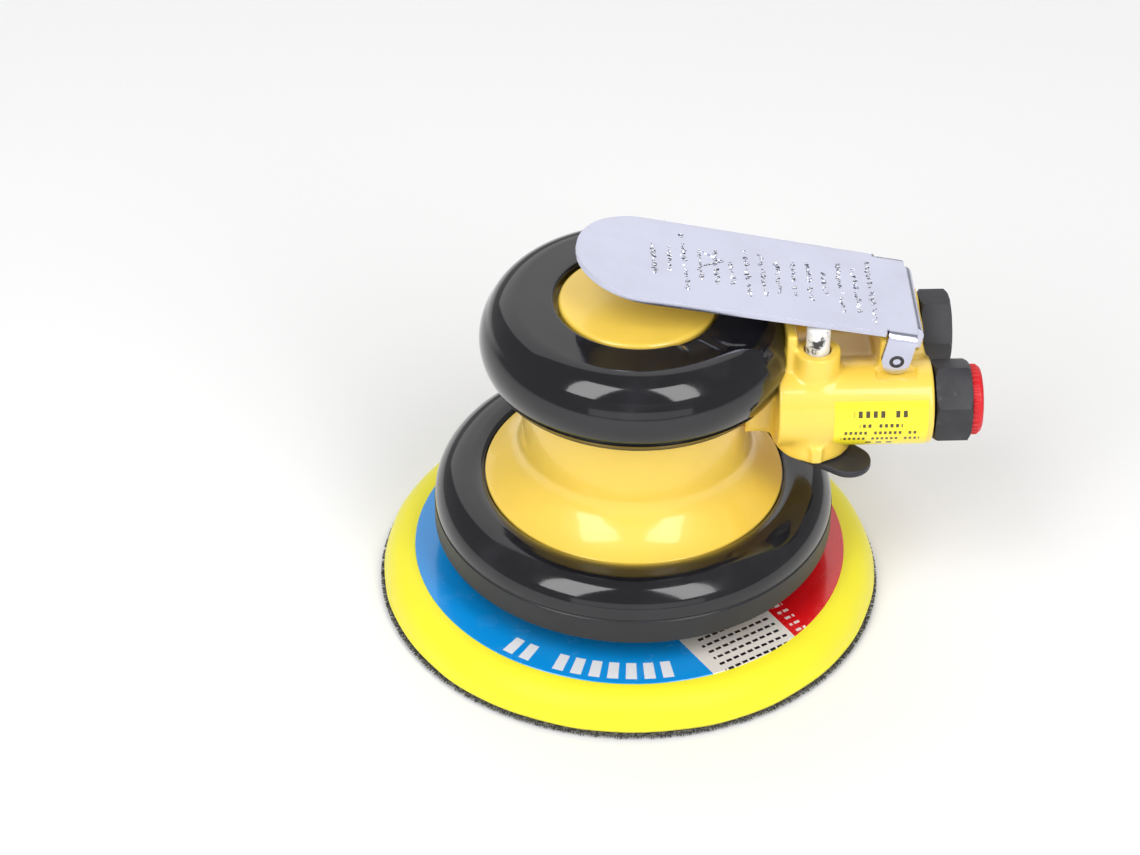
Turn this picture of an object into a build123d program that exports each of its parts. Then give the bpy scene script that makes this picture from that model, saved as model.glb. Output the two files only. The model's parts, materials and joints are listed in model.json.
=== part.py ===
"""Palm-size pneumatic random-orbit sander with a 5 inch pad.

Millimetres, +Z up.  The origin is where the motor axis meets the pad's working face.
+X runs along the arm towards the air inlet, and the inlet side of the arm is -Y.
Each solid is one physical piece and is written to parts/NAME.step.
"""

import math
import os

from build123d import *

# ---------------------------------------------------------------- driving dimensions
# Orbit: the pad turns about an axis that circles the motor axis.
ORBIT_OFFSET = 1.2
ORBIT_REST_DEG = 232.0
ORBIT_X = ORBIT_OFFSET * math.cos(math.radians(ORBIT_REST_DEG))
ORBIT_Y = ORBIT_OFFSET * math.sin(math.radians(ORBIT_REST_DEG))

# Pad, from the working face up.
HOOK_R = 63.0
HOOK_TOP = 1.5
FOAM_R = 62.5
FOAM_SHOULDER_R = 55.6
PAD_TOP = 10.5
BACKING_R = 52.0
BACKING_THICK = 2.5
LABEL_R = 54.4
LABEL_THICK = 0.25
STUD_FLANGE_R = 13.0
STUD_R = 3.92
RIVET_COUNT = 6
RIVET_R = 1.5
RIVET_CIRCLE_R = 9.3

# Spindle: hexagon for a 24 mm wrench, journal in two 12 x 28 x 8 bearings.
SPINDLE_AF = 24.0
SPINDLE_HEX_TOP = 14.3
SPINDLE_SHOULDER_R = 8.0
SPINDLE_BORE_R = 3.97
JOURNAL_R = 6.0
PAD_BEARING_R = 14.0
PAD_BEARING_WIDE = 8.0
PAD_BEARING_Z = 16.8
SNAP_RING_THICK = 1.0

# Crankshaft and its bearings (15 x 32 x 9 below, 10 x 26 x 8 above).
CUP_R = 18.0
CUP_BOTTOM = 14.7
CUP_CEILING = PAD_BEARING_Z + 2 * PAD_BEARING_WIDE
CUP_RELIEF_R = 9.2
CUP_RELIEF_TOP = CUP_CEILING + 2.2
CUP_TOP = 36.8
NECK_R = 9.0
SHAFT_R = 7.5
SHAFT_TOP_R = 5.0
SHAFT_TOP = 81.4
LOWER_BEARING_R = 16.0
LOWER_BEARING_WIDE = 9.0
UPPER_BEARING_R = 13.0
UPPER_BEARING_WIDE = 8.0
WEIGHT_R = 29.0
WEIGHT_BOTTOM = 19.0
WEIGHT_TOP = 30.0

# Air motor.
MOTOR_BORE_R = 24.0
MOTOR_FIT = 0.05
LOCK_RING_R = 25.0
LOCK_RING_BORE_R = 20.6
LOCK_RING_BOTTOM = 34.6
LOWER_PLATE_BOTTOM = 38.3
CYLINDER_BOTTOM = 48.5
CYLINDER_TOP = 70.5
UPPER_PLATE_TOP = 79.5
CYLINDER_BORE_R = 19.5
CYLINDER_BORE_OFFSET = 1.9
ROTOR_R = 17.4
ROTOR_END_GAP = 0.1
BLADE_COUNT = 5
BLADE_THICK = 2.0
BLADE_DEEP = 7.5
KEY_WIDE = 3.0

# Housing: a turned body with a flared skirt, a narrow waist and a round head.
FLANGE_R = 37.3
FLANGE_Z = 33.2
SPIGOT_R = 35.6
SPIGOT_BORE_R = 31.0
SPIGOT_BOTTOM = 27.2
GROOVE_R = 34.0
GROOVE_BOTTOM = 28.4
GROOVE_TOP = 30.4
WAIST_R = 28.0
HEAD_R = 33.5
HEAD_TOP = 82.0
CAP_R = 19.2
CAP_EDGE_Z = 85.2
CAP_CROWN_Z = 86.4

# Rubber: shroud over the flange, grip ring round the head.
SHROUD_R = 50.0
SHROUD_LIP_Z = 18.8
SHROUD_WALL = 3.2
SHROUD_ROUND_R = 8.5
SHROUD_WALL_TOP = 26.0
GRIP_BOTTOM_Z = 66.4
GRIP_TOP_Z = 86.0
GRIP_BORE_R = 20.2
GRIP_CHANNEL_FLOOR = 85.0
GRIP_CHANNEL_HALF = 19.5
GRIP_END_X = 34.7

# Arm: inlet barrel at -Y, exhaust barrel at +Y.
BARREL_Y = 14.5
BARREL_Z = 64.4
BARREL_R = 10.4
ARM_END_X = 70.5
WEB_BOTTOM = 56.0
WEB_TOP = 71.5
COLLAR_X = 35.0
COLLAR_THICK = 2.6
COLLAR_TOP = 84.8
COLLAR_HALF = 15.8
PASSAGE_R = 4.2
PASSAGE_START_X = 17.0

# Throttle, on a vertical axis through the inlet barrel.
VALVE_X = 42.5
VALVE_BODY_R = 9.4
VALVE_BODY_BOTTOM = 52.7
STEM_BOSS_R = 5.6
STEM_BOSS_TOP = 80.7
STEM_R = 2.9
STEM_TOP = 87.6
STEM_NOSE_R = 1.0
STEM_NOSE_TOP = 69.4
STEM_HOLE_R = 3.3
GUIDE_R = 4.2
GUIDE_BOTTOM = 73.0
GUIDE_TOP = 78.4
RUNNING_FIT = 0.05
SEAT_FRONT_X = 50.0
SEAT_BACK_X = 52.0
SEAT_HOLE_R = 4.2
SPRING_CHAMBER_R = 6.6
SPRING_START_X = 54.3
SPRING_WIRE_R = 0.3
TIP_HEAD_R = 5.4
TIP_TAIL_R = 1.2
TIP_TAIL_END_X = 41.0
TIP_BEAD_R = 0.4
TIP_PIVOT_X = 52.5
TIP_PIVOT_Z = 70.0
BUSHING_THREAD_R = 8.0
BUSHING_INNER_X = 57.4
BUSHING_FACE_X = 71.1
BUSHING_END_X = 79.9
BUSHING_AF = 18.0
INLET_R = 5.7
INLET_FLOOR_X = 65.4
COUNTERBORE_R = 6.3
COUNTERBORE_DEEP = 2.5
SCREEN_R = 5.0
SCREEN_DEEP = 0.6
SCREEN_THICK = 0.5
BUSHING_BORE_R = 4.0
HEX_CHAMFER = 0.8

# Speed regulator: a hollow plug turned by a small lever under the valve body.
REGULATOR_BORE_R = 5.9
REGULATOR_TOP = 69.2
REGULATOR_FLOOR = 58.0
REGULATOR_STEP_Z = 54.3
REGULATOR_SKIRT_R = 5.0
REGULATOR_SHANK_R = 3.0
REGULATOR_HOLLOW_R = 4.7
REGULATOR_PORT_R = 3.6
REGULATOR_WINDOW_Z = 60.0
REGULATOR_SCREW_R = 1.2
REGULATOR_SEAL_Z = 56.55
CLIP_BOTTOM = 53.2
CLIP_THICK = 0.8
SCREW_HEAD_R = 4.2
SCREW_HEAD_TALL = 1.6
REGULATOR_HUB_R = 6.4
REGULATOR_PADDLE_R = 5.5
REGULATOR_LEVER_DEG = -40.5
REGULATOR_LEVER_REACH = 10.8
REGULATOR_LEVER_BOTTOM = 50.4
REGULATOR_LEVER_TOP = 52.3

# Exhaust muffler.
MUFFLER_R = 8.0
MUFFLER_BORE_R = 6.2
MUFFLER_START_X = 50.0
MUFFLER_END_X = 78.5
MUFFLER_AF = 17.3
MUFFLER_FACE = 1.6
MUFFLER_HOLE_R = 1.3
MUFFLER_HOLE_RING = 3.9

# Throttle lever: pressed sheet, hinged on a pin across the end of the arm.
HINGE_X = 61.4
HINGE_Z = 78.0
PIN_R = 1.8
PIN_HALF = 17.3
HINGE_BOSS_HALF = 15.1
HINGE_BOSS_TOP = 83.0
LEVER_TILT = 11.42
LEVER_THICK = 1.5
LEVER_UNDERSIDE = 6.06
LEVER_TIP_R = 17.0
LEVER_TIP_CENTRE = -62.4
LEVER_NARROW_HALF = 16.2
LEVER_END = 5.7
EAR_HALF_WIDE = 3.65
EAR_INNER = 15.55
TAB_HALF = 13.0

CENTRE_LOW = (Align.CENTER, Align.CENTER, Align.MIN)


# ---------------------------------------------------------------- shape helpers
def rod_z(radius, low, high, x=0.0, y=0.0):
    """Round bar along Z between two heights."""
    return Pos(x, y, low) * Cylinder(radius, high - low, align=CENTRE_LOW)


def rod_x(radius, low, high, y=0.0, z=0.0):
    """Round bar along X between two stations."""
    return Pos(low, y, z) * Rot(0, 90, 0) * Cylinder(radius, high - low, align=CENTRE_LOW)


def rod_y(radius, low, high, x=0.0, z=0.0):
    """Round bar along Y between two stations."""
    return Pos(x, low, z) * Rot(-90, 0, 0) * Cylinder(radius, high - low, align=CENTRE_LOW)


def tube_z(outer, inner, low, high, x=0.0, y=0.0):
    """Ring about Z."""
    return rod_z(outer, low, high, x, y) - rod_z(inner, low - 1, high + 1, x, y)


def tube_x(outer, inner, low, high, y=0.0, z=0.0):
    """Ring about X."""
    return rod_x(outer, low, high, y, z) - rod_x(inner, low - 1, high + 1, y, z)


def block(low, high):
    """Box between two opposite corners."""
    size = [b - a for a, b in zip(low, high)]
    middle = [(a + b) / 2 for a, b in zip(low, high)]
    return Pos(*middle) * Box(*size)


def hexagon(across_flats, thick, turn=0.0):
    """Hexagonal prism standing on z = 0."""
    outline = RegularPolygon(across_flats / 2, 6, major_radius=False, rotation=turn)
    return extrude(outline, thick)


def turned(start, *steps):
    """Solid of revolution about Z of a closed (radius, height) outline.

    A step is the next point, or a pair (point on the arc, end of the arc).
    """
    edges = []
    here = Vector(start[0], 0, start[1])
    for step in [*steps, start]:
        if isinstance(step[0], tuple):
            middle, end = (Vector(p[0], 0, p[1]) for p in step)
            edges.append(ThreePointArc(here, middle, end))
        else:
            end = Vector(step[0], 0, step[1])
            edges.append(Line(here, end))
        here = end
    return revolve(Face(Wire(edges)), Axis.Z, 360)


def crown(radius, edge_z, top_z):
    """Arc step from (radius, edge_z) up to the axis at top_z, level where it meets the axis."""
    rise = top_z - edge_z
    ball = (radius**2 + rise**2) / (2 * rise)
    middle_z = top_z - ball + math.sqrt(ball**2 - (radius / 2) ** 2)
    return (radius / 2, middle_z), (0, top_z)


def polar(radius, degrees, x=0.0, y=0.0):
    """Point on a circle about (x, y)."""
    angle = math.radians(degrees)
    return x + radius * math.cos(angle), y + radius * math.sin(angle)


def write(name, *solids):
    """One STEP file per node; a node of several solids is a compound."""
    shape = solids[0] if len(solids) == 1 else Compound(children=list(solids))
    export_step(shape, f"parts/{name}.step")


# ---------------------------------------------------------------- bearings
def bearing(outer, inner, wide, low, balls, x=0.0, y=0.0):
    """Deep-groove ball bearing: outer ring, inner ring and its balls."""
    middle = (outer + inner) / 2
    ball_r = (outer - inner) * 0.27
    ring = (outer - inner) * 0.34
    track = Pos(x, y, low + wide / 2) * Torus(middle, ball_r + RUNNING_FIT)
    outer_ring = tube_z(outer, outer - ring, low, low + wide, x, y) - track
    inner_ring = tube_z(inner + ring, inner, low, low + wide, x, y) - track
    spheres = []
    for index in range(balls):
        bx, by = polar(middle, 360 * index / balls, x, y)
        spheres.append(Pos(bx, by, low + wide / 2) * Sphere(ball_r))
    return outer_ring, inner_ring, spheres


# ---------------------------------------------------------------- pad
def pad_hook():
    return rod_z(HOOK_R, 0, HOOK_TOP, ORBIT_X, ORBIT_Y)


def pad_foam():
    backing_low = PAD_TOP - BACKING_THICK
    flange_low = backing_low - 1.5
    return Pos(ORBIT_X, ORBIT_Y, 0) * turned(
        (0, HOOK_TOP),
        (FOAM_R - 0.6, HOOK_TOP),
        ((FOAM_R, HOOK_TOP + 0.9), (FOAM_R - 0.3, HOOK_TOP + 2.2)),
        ((60.4, 7.6), (FOAM_SHOULDER_R, PAD_TOP)),
        (BACKING_R, PAD_TOP),
        (BACKING_R, backing_low),
        (STUD_FLANGE_R, backing_low),
        (STUD_FLANGE_R, flange_low),
        (0, flange_low),
    )


def pad_backing():
    low = PAD_TOP - BACKING_THICK
    plate = tube_z(BACKING_R, STUD_R + 0.1, low, PAD_TOP)
    for index in range(RIVET_COUNT):
        x, y = polar(RIVET_CIRCLE_R, 360 * index / RIVET_COUNT)
        plate -= rod_z(RIVET_R, low - 1, PAD_TOP + 1, x, y)
    return Pos(ORBIT_X, ORBIT_Y, 0) * plate


def pad_stud():
    """Steel flange behind the backing plate with the stud that screws into the spindle."""
    top = PAD_TOP - BACKING_THICK
    stud = rod_z(STUD_FLANGE_R, top - 1.5, top) + rod_z(STUD_R, top, 23.0)
    stud = chamfer(stud.faces().sort_by(Axis.Z)[-1].edges(), 0.7)
    for index in range(RIVET_COUNT):
        x, y = polar(RIVET_CIRCLE_R, 360 * index / RIVET_COUNT)
        stud -= rod_z(RIVET_R, top - 2, top + 0.5, x, y)
    return Pos(ORBIT_X, ORBIT_Y, 0) * stud


def pad_rivets():
    low = PAD_TOP - BACKING_THICK - 1.5
    rivets = []
    for index in range(RIVET_COUNT):
        x, y = polar(RIVET_CIRCLE_R, 360 * index / RIVET_COUNT, ORBIT_X, ORBIT_Y)
        rivets.append(rod_z(RIVET_R, low, PAD_TOP, x, y))
    return rivets


def pad_label():
    """Printed film on the pad's top face, with a hole for the spindle."""
    hole_r = SPINDLE_AF / 2 / math.cos(math.radians(30)) + 1.2
    return tube_z(LABEL_R, hole_r, PAD_TOP, PAD_TOP + LABEL_THICK, ORBIT_X, ORBIT_Y)


def spindle():
    body = Pos(0, 0, PAD_TOP) * hexagon(SPINDLE_AF, SPINDLE_HEX_TOP - PAD_TOP)
    body += rod_z(SPINDLE_SHOULDER_R, SPINDLE_HEX_TOP, PAD_BEARING_Z)
    body += rod_z(JOURNAL_R, PAD_BEARING_Z, CUP_CEILING + 1.5)
    body -= rod_z(SPINDLE_BORE_R, PAD_TOP - 1, 25.0)
    body -= tube_z(JOURNAL_R + 1, JOURNAL_R - 0.4, CUP_CEILING + 0.1, CUP_CEILING + 0.9)
    return Pos(ORBIT_X, ORBIT_Y, 0) * body


def spindle_circlip():
    low = CUP_CEILING + 0.1
    ring = tube_z(JOURNAL_R + 1.4, JOURNAL_R - 0.4, low, low + 0.8)
    ring -= block((0, -1.6, low - 1), (10, 1.6, low + 2))
    return Pos(ORBIT_X, ORBIT_Y, 0) * ring


# ---------------------------------------------------------------- crank
def crankshaft():
    """Stepped shaft on the motor axis with the bearing cup on the orbit axis below it."""
    cup = rod_z(CUP_R, CUP_BOTTOM, CUP_TOP, ORBIT_X, ORBIT_Y)
    cup -= rod_z(PAD_BEARING_R, CUP_BOTTOM - 1, CUP_CEILING, ORBIT_X, ORBIT_Y)
    cup -= rod_z(CUP_RELIEF_R, CUP_CEILING - 1, CUP_RELIEF_TOP, ORBIT_X, ORBIT_Y)
    groove_low = PAD_BEARING_Z - SNAP_RING_THICK
    cup -= rod_z(PAD_BEARING_R + 0.7, groove_low, PAD_BEARING_Z, ORBIT_X, ORBIT_Y)
    shaft = rod_z(NECK_R, CUP_TOP, LOWER_PLATE_BOTTOM + 0.1)
    shaft += rod_z(SHAFT_R, LOWER_PLATE_BOTTOM + 0.1, CYLINDER_TOP - ROTOR_END_GAP)
    shaft += rod_z(SHAFT_TOP_R, CYLINDER_TOP - ROTOR_END_GAP, SHAFT_TOP)
    groove = tube_z(SHAFT_TOP_R + 1, SHAFT_TOP_R - 0.4, UPPER_PLATE_TOP, UPPER_PLATE_TOP + 0.9)
    keyway = block((SHAFT_R - 1.5, -KEY_WIDE / 2, 51), (SHAFT_R + 1, KEY_WIDE / 2, 68))
    return cup + shaft - groove - keyway


def counterweight():
    """Half ring clamped to the cup on the side away from the orbit axis."""
    ring = tube_z(WEIGHT_R, CUP_R - 3, WEIGHT_BOTTOM, WEIGHT_TOP)
    ring -= rod_z(CUP_R, WEIGHT_BOTTOM - 1, WEIGHT_TOP + 1, ORBIT_X, ORBIT_Y)
    away = ORBIT_REST_DEG + 180
    half = Rot(0, 0, away) * block((0, -40, WEIGHT_BOTTOM), (40, 40, WEIGHT_TOP))
    ring = ring & half
    for bolt in weight_bolts(socket_deep=0):
        ring -= bolt
    return ring


def weight_bolts(socket_deep=2.2):
    """Two socket screws that run radially through the weight to the cup wall."""
    bolts = []
    height = (WEIGHT_BOTTOM + WEIGHT_TOP) / 2
    for side in (-35, 35):
        bolt = rod_x(2.0, CUP_R + 2.0, WEIGHT_R - 3.2) + rod_x(3.5, WEIGHT_R - 4.0, WEIGHT_R)
        if socket_deep:
            bolt -= Pos(WEIGHT_R + 0.1, 0, 0) * Rot(0, -90, 0) * hexagon(3.0, socket_deep)
        bolts.append(Pos(0, 0, height) * Rot(0, 0, ORBIT_REST_DEG + 180 + side) * bolt)
    return bolts


def rotor():
    low = CYLINDER_BOTTOM + ROTOR_END_GAP
    high = CYLINDER_TOP - ROTOR_END_GAP
    body = tube_z(ROTOR_R, SHAFT_R, low, high)
    half = BLADE_THICK / 2
    slot = block((ROTOR_R - BLADE_DEEP - 0.4, -half, low - 1), (ROTOR_R + 2, half, high + 1))
    for index in range(BLADE_COUNT):
        body -= Rot(0, 0, 36 + 360 * index / BLADE_COUNT) * slot
    body -= block((SHAFT_R - 1, -KEY_WIDE / 2, 50.9), (SHAFT_R + 1.4, KEY_WIDE / 2, 68.1))
    return body


def rotor_blades():
    low = CYLINDER_BOTTOM + ROTOR_END_GAP + 0.05
    high = CYLINDER_TOP - ROTOR_END_GAP - 0.05
    half = BLADE_THICK / 2 - 0.04
    blade = block((ROTOR_R - BLADE_DEEP, -half, low), (ROTOR_R - 0.1, half, high))
    return [Rot(0, 0, 36 + 360 * i / BLADE_COUNT) * blade for i in range(BLADE_COUNT)]


def rotor_key():
    half = KEY_WIDE / 2
    return block((SHAFT_R - 1.5, -half, 51), (SHAFT_R + 1.4, half, 68))


def shaft_circlip():
    ring = tube_z(SHAFT_TOP_R + 1.6, SHAFT_TOP_R - 0.4, UPPER_PLATE_TOP + 0.05, UPPER_PLATE_TOP + 0.85)
    return ring - block((0, -1.4, UPPER_PLATE_TOP - 1), (9, 1.4, UPPER_PLATE_TOP + 2))


def cup_snap_ring():
    low = PAD_BEARING_Z - SNAP_RING_THICK
    ring = tube_z(PAD_BEARING_R + 0.7, PAD_BEARING_R - 1.6, low, PAD_BEARING_Z)
    ring -= block((0, -3, low - 1), (20, 3, PAD_BEARING_Z + 1))
    return Pos(ORBIT_X, ORBIT_Y, 0) * ring


# ---------------------------------------------------------------- motor, fixed parts
def motor_cylinder():
    body = rod_z(MOTOR_BORE_R - MOTOR_FIT, CYLINDER_BOTTOM, CYLINDER_TOP)
    body -= rod_z(CYLINDER_BORE_R, CYLINDER_BOTTOM - 1, CYLINDER_TOP + 1, 0, CYLINDER_BORE_OFFSET)
    for side in (-1, 1):
        body -= rod_x(PASSAGE_R - 0.7, 8, 26, side * BARREL_Y, BARREL_Z)
    for pin in dowel_pins():
        body -= pin
    return body


def dowel_pins():
    place = -21.0
    lower = rod_z(1.2, CYLINDER_BOTTOM - 5, CYLINDER_BOTTOM + 4, 0, place)
    upper = rod_z(1.2, CYLINDER_TOP - 4, CYLINDER_TOP + 5, 0, place)
    return [lower, upper]


def lower_end_plate():
    pocket_top = LOWER_PLATE_BOTTOM + 0.1 + LOWER_BEARING_WIDE
    plate = rod_z(MOTOR_BORE_R - MOTOR_FIT, LOWER_PLATE_BOTTOM, CYLINDER_BOTTOM)
    plate -= rod_z(LOWER_BEARING_R, LOWER_PLATE_BOTTOM - 1, pocket_top)
    plate -= rod_z(SHAFT_R + 0.4, pocket_top - 1, CYLINDER_BOTTOM + 1)
    return plate - dowel_pins()[0]


def upper_end_plate():
    pocket_low = UPPER_PLATE_TOP - UPPER_BEARING_WIDE
    plate = rod_z(MOTOR_BORE_R - MOTOR_FIT, CYLINDER_TOP, UPPER_PLATE_TOP)
    plate -= rod_z(UPPER_BEARING_R, pocket_low, UPPER_PLATE_TOP + 1)
    plate -= rod_z(SHAFT_TOP_R + 0.4, CYLINDER_TOP - 1, pocket_low + 1)
    return plate - dowel_pins()[1]


def lock_ring():
    ring = tube_z(LOCK_RING_R - 0.05, LOCK_RING_BORE_R, LOCK_RING_BOTTOM, LOWER_PLATE_BOTTOM)
    for index in range(4):
        x, y = polar(LOCK_RING_BORE_R, 45 + 90 * index)
        ring -= rod_z(1.6, LOCK_RING_BOTTOM - 1, LOCK_RING_BOTTOM + 2, x, y)
    return ring


# ---------------------------------------------------------------- housing
def housing_shell():
    """Outside of the turned body: spigot, flange, flare, waist, head and cap."""
    return turned(
        (0, SPIGOT_BOTTOM),
        (SPIGOT_R, SPIGOT_BOTTOM),
        (SPIGOT_R, GROOVE_BOTTOM),
        (GROOVE_R, GROOVE_BOTTOM),
        (GROOVE_R, GROOVE_TOP),
        (SPIGOT_R, GROOVE_TOP),
        (SPIGOT_R, FLANGE_Z - 0.6),
        (FLANGE_R - 0.5, FLANGE_Z - 0.6),
        ((FLANGE_R, FLANGE_Z - 0.2), (FLANGE_R - 0.4, FLANGE_Z + 0.4)),
        (31.6, 38.3),
        ((28.9, 41.6), (WAIST_R, 45.5)),
        (WAIST_R, 66.0),
        (WAIST_R, 66.6),
        ((29.2, 69.2), (32.0, 70.4)),
        ((33.1, 71.2), (HEAD_R, 72.5)),
        (HEAD_R, 76.0),
        ((32.2, 79.4), (28.6, HEAD_TOP - 0.5)),
        (20.4, HEAD_TOP),
        (CAP_R, HEAD_TOP),
        (CAP_R, CAP_EDGE_Z),
        ((CAP_R - 0.35, CAP_EDGE_Z + 0.5), (CAP_R - 1.2, CAP_EDGE_Z + 0.72)),
        crown(CAP_R - 1.2, CAP_EDGE_Z + 0.72, CAP_CROWN_Z),
    )


def housing_bores():
    """Room for the motor, the crank and the lock ring."""
    room = rod_z(SPIGOT_BORE_R, SPIGOT_BOTTOM - 1, LOCK_RING_BOTTOM - 0.4)
    room += rod_z(LOCK_RING_R, LOCK_RING_BOTTOM - 1, LOWER_PLATE_BOTTOM)
    room += rod_z(MOTOR_BORE_R, LOWER_PLATE_BOTTOM - 1, UPPER_PLATE_TOP)
    room += rod_z(8.0, UPPER_PLATE_TOP - 1, 82.4)
    return room


def arm_outside():
    """Web, two barrels, collar, valve body, stem boss and hinge boss."""
    web = block((24, -BARREL_Y, WEB_BOTTOM), (ARM_END_X, BARREL_Y, WEB_TOP))
    neck = block((14, -13.5, WEB_BOTTOM), (COLLAR_X + 1, 13.5, 79.0))
    collar = block((COLLAR_X, -COLLAR_HALF, 60), (COLLAR_X + COLLAR_THICK, COLLAR_HALF, COLLAR_TOP))
    collar = fillet(collar.edges().filter_by(Axis.X).sort_by(Axis.Z)[-2:], 2.5)
    arm = web + neck + collar
    for side in (-1, 1):
        barrel = rod_x(BARREL_R, COLLAR_X - 3, ARM_END_X, side * BARREL_Y, BARREL_Z)
        arm += chamfer(barrel.faces().sort_by(Axis.X)[-1].edges(), 0.9)
    valve_body = rod_z(VALVE_BODY_R, VALVE_BODY_BOTTOM, BARREL_Z, VALVE_X, -BARREL_Y)
    arm += fillet(valve_body.faces().sort_by(Axis.Z)[0].edges(), 1.2)
    boss = rod_z(STEM_BOSS_R, BARREL_Z, STEM_BOSS_TOP, VALVE_X, -BARREL_Y)
    arm += fillet(boss.faces().sort_by(Axis.Z)[-1].edges(), 0.6)
    hinge = block((57.6, -HINGE_BOSS_HALF, 66), (64.9, HINGE_BOSS_HALF, HINGE_BOSS_TOP))
    arm += fillet(hinge.edges().filter_by(Axis.Y).sort_by(Axis.Z)[-2:], 2.0)
    pointer = block((VALVE_X - 1.2, -BARREL_Y - 10.4, 53.4), (VALVE_X + 1.2, -BARREL_Y - 7, 57.5))
    return arm + pointer


def arm_bores():
    """Air ways, valve chambers, pin hole and room for the lever's ears."""
    y = -BARREL_Y
    cuts = rod_x(PASSAGE_R, PASSAGE_START_X, SEAT_FRONT_X + 1, y, BARREL_Z)
    cuts += rod_x(SPRING_CHAMBER_R, SEAT_FRONT_X, BUSHING_INNER_X + 1, y, BARREL_Z)
    cuts += rod_x(BUSHING_THREAD_R, BUSHING_INNER_X, ARM_END_X + 1, y, BARREL_Z)
    cuts += rod_z(STEM_HOLE_R, BARREL_Z, STEM_BOSS_TOP + 1, VALVE_X, y)
    cuts += rod_z(GUIDE_R, REGULATOR_TOP, GUIDE_TOP, VALVE_X, y)
    cuts += rod_z(REGULATOR_BORE_R, VALVE_BODY_BOTTOM - 1, REGULATOR_TOP + 0.3, VALVE_X, y)
    cuts += rod_z(REGULATOR_BORE_R + 0.8, CLIP_BOTTOM, CLIP_BOTTOM + CLIP_THICK + 0.1, VALVE_X, y)
    cuts += rod_x(PASSAGE_R + 0.6, PASSAGE_START_X, MUFFLER_START_X + 1, BARREL_Y, BARREL_Z)
    cuts += rod_x(MUFFLER_R, MUFFLER_START_X, ARM_END_X + 1, BARREL_Y, BARREL_Z)
    cuts += rod_y(PIN_R + RUNNING_FIT, -30, 30, HINGE_X, HINGE_Z)
    for side in (-1, 1):
        near = side * HINGE_BOSS_HALF
        far = side * 19.5
        ends = sorted((near, far))
        cuts += block((56.6, ends[0], 73.8), (66.4, ends[1], 80))
    return cuts


def housing():
    """Turned part of the casting, with its bores and the air ways through its wall."""
    return housing_shell() - housing_bores() - arm_bores()


def housing_arm():
    """Arm of the same casting, up to the turned surface."""
    return arm_outside() - housing_shell() - arm_bores()


# ---------------------------------------------------------------- rubber and film
def shroud():
    """Hollow bell of rubber that snaps into the groove under the flange."""
    crown_r = SHROUD_R - SHROUD_ROUND_R
    crown_z = SHROUD_WALL_TOP + SHROUD_ROUND_R
    mid = SHROUD_ROUND_R * math.cos(math.radians(45))
    inner_round = SHROUD_ROUND_R - SHROUD_WALL
    inner_mid = inner_round * math.cos(math.radians(45))
    return turned(
        (SHROUD_R - SHROUD_WALL, SHROUD_LIP_Z),
        (SHROUD_R - 0.8, SHROUD_LIP_Z),
        ((SHROUD_R - 0.2, SHROUD_LIP_Z + 0.3), (SHROUD_R, SHROUD_LIP_Z + 0.9)),
        (SHROUD_R, SHROUD_WALL_TOP),
        ((crown_r + mid, SHROUD_WALL_TOP + mid), (crown_r, crown_z)),
        ((39.2, crown_z - 0.25), (FLANGE_R + 0.15, FLANGE_Z)),
        (FLANGE_R + 0.15, FLANGE_Z - 0.65),
        (SPIGOT_R + 0.05, FLANGE_Z - 0.65),
        (SPIGOT_R + 0.05, GROOVE_TOP - 0.05),
        (GROOVE_R + 0.05, GROOVE_TOP - 0.05),
        (GROOVE_R + 0.05, GROOVE_BOTTOM + 0.05),
        (39.0, GROOVE_BOTTOM + 0.05),
        (crown_r, SHROUD_WALL_TOP + inner_round),
        ((crown_r + inner_mid, SHROUD_WALL_TOP + inner_mid), (crown_r + inner_round, SHROUD_WALL_TOP)),
    )


def grip_ring():
    """Rubber ring stretched round the head, open for the arm and flattened under the lever."""
    ring = turned(
        (WAIST_R + 0.1, GRIP_BOTTOM_Z),
        (34.2, GRIP_BOTTOM_Z),
        ((35.2, GRIP_BOTTOM_Z + 0.3), (36.0, 67.4)),
        ((38.45, 74.7), (36.6, 80.6)),
        ((33.4, 84.5), (28.2, GRIP_TOP_Z - 0.3)),
        (25.0, GRIP_TOP_Z),
        (GRIP_BORE_R + 0.7, GRIP_TOP_Z),
        ((GRIP_BORE_R + 0.2, GRIP_TOP_Z - 0.2), (GRIP_BORE_R, GRIP_TOP_Z - 0.7)),
        (GRIP_BORE_R, 80.0),
        (WAIST_R + 0.1, 72.0),
    )
    ring -= housing_shell()
    ring -= block((0.5, -GRIP_CHANNEL_HALF, GRIP_CHANNEL_FLOOR), (50, GRIP_CHANNEL_HALF, 90))
    ring -= block((GRIP_END_X, -COLLAR_HALF - 0.6, 55), (50, COLLAR_HALF + 0.6, 90))
    ring -= block((14, -13.6, 50), (50, 13.6, 79.1))
    for side in (-1, 1):
        ring -= rod_x(BARREL_R + 0.1, 14, 50, side * BARREL_Y, BARREL_Z)
    return ring


def inlet_sticker():
    """Film wrapped round the lower half of the inlet barrel."""
    film = tube_x(BARREL_R + 0.15, BARREL_R, 46.5, 68.8)
    keep = Pos(57, 0, 0) * Rot(0, 90, 0) * wedge(BARREL_R + 2, 30, 36, -55)
    return Pos(0, -BARREL_Y, BARREL_Z) * (film & keep) - arm_outside()


def wedge(radius, tall, high_deg, low_deg):
    """Pie slice on the -Y side, between two angles above and below horizontal.

    It is drawn about local Z, so that turning it by 90 degrees lays its axis along X.
    """
    points = [(0.0, 0.0)]
    for index in range(9):
        angle = math.radians(low_deg + (high_deg - low_deg) * index / 8)
        points.append((-radius * math.sin(angle), -radius * math.cos(angle)))
    outline = make_face(Polyline(*points, close=True))
    return Pos(0, 0, -tall / 2) * extrude(outline, tall)


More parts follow.
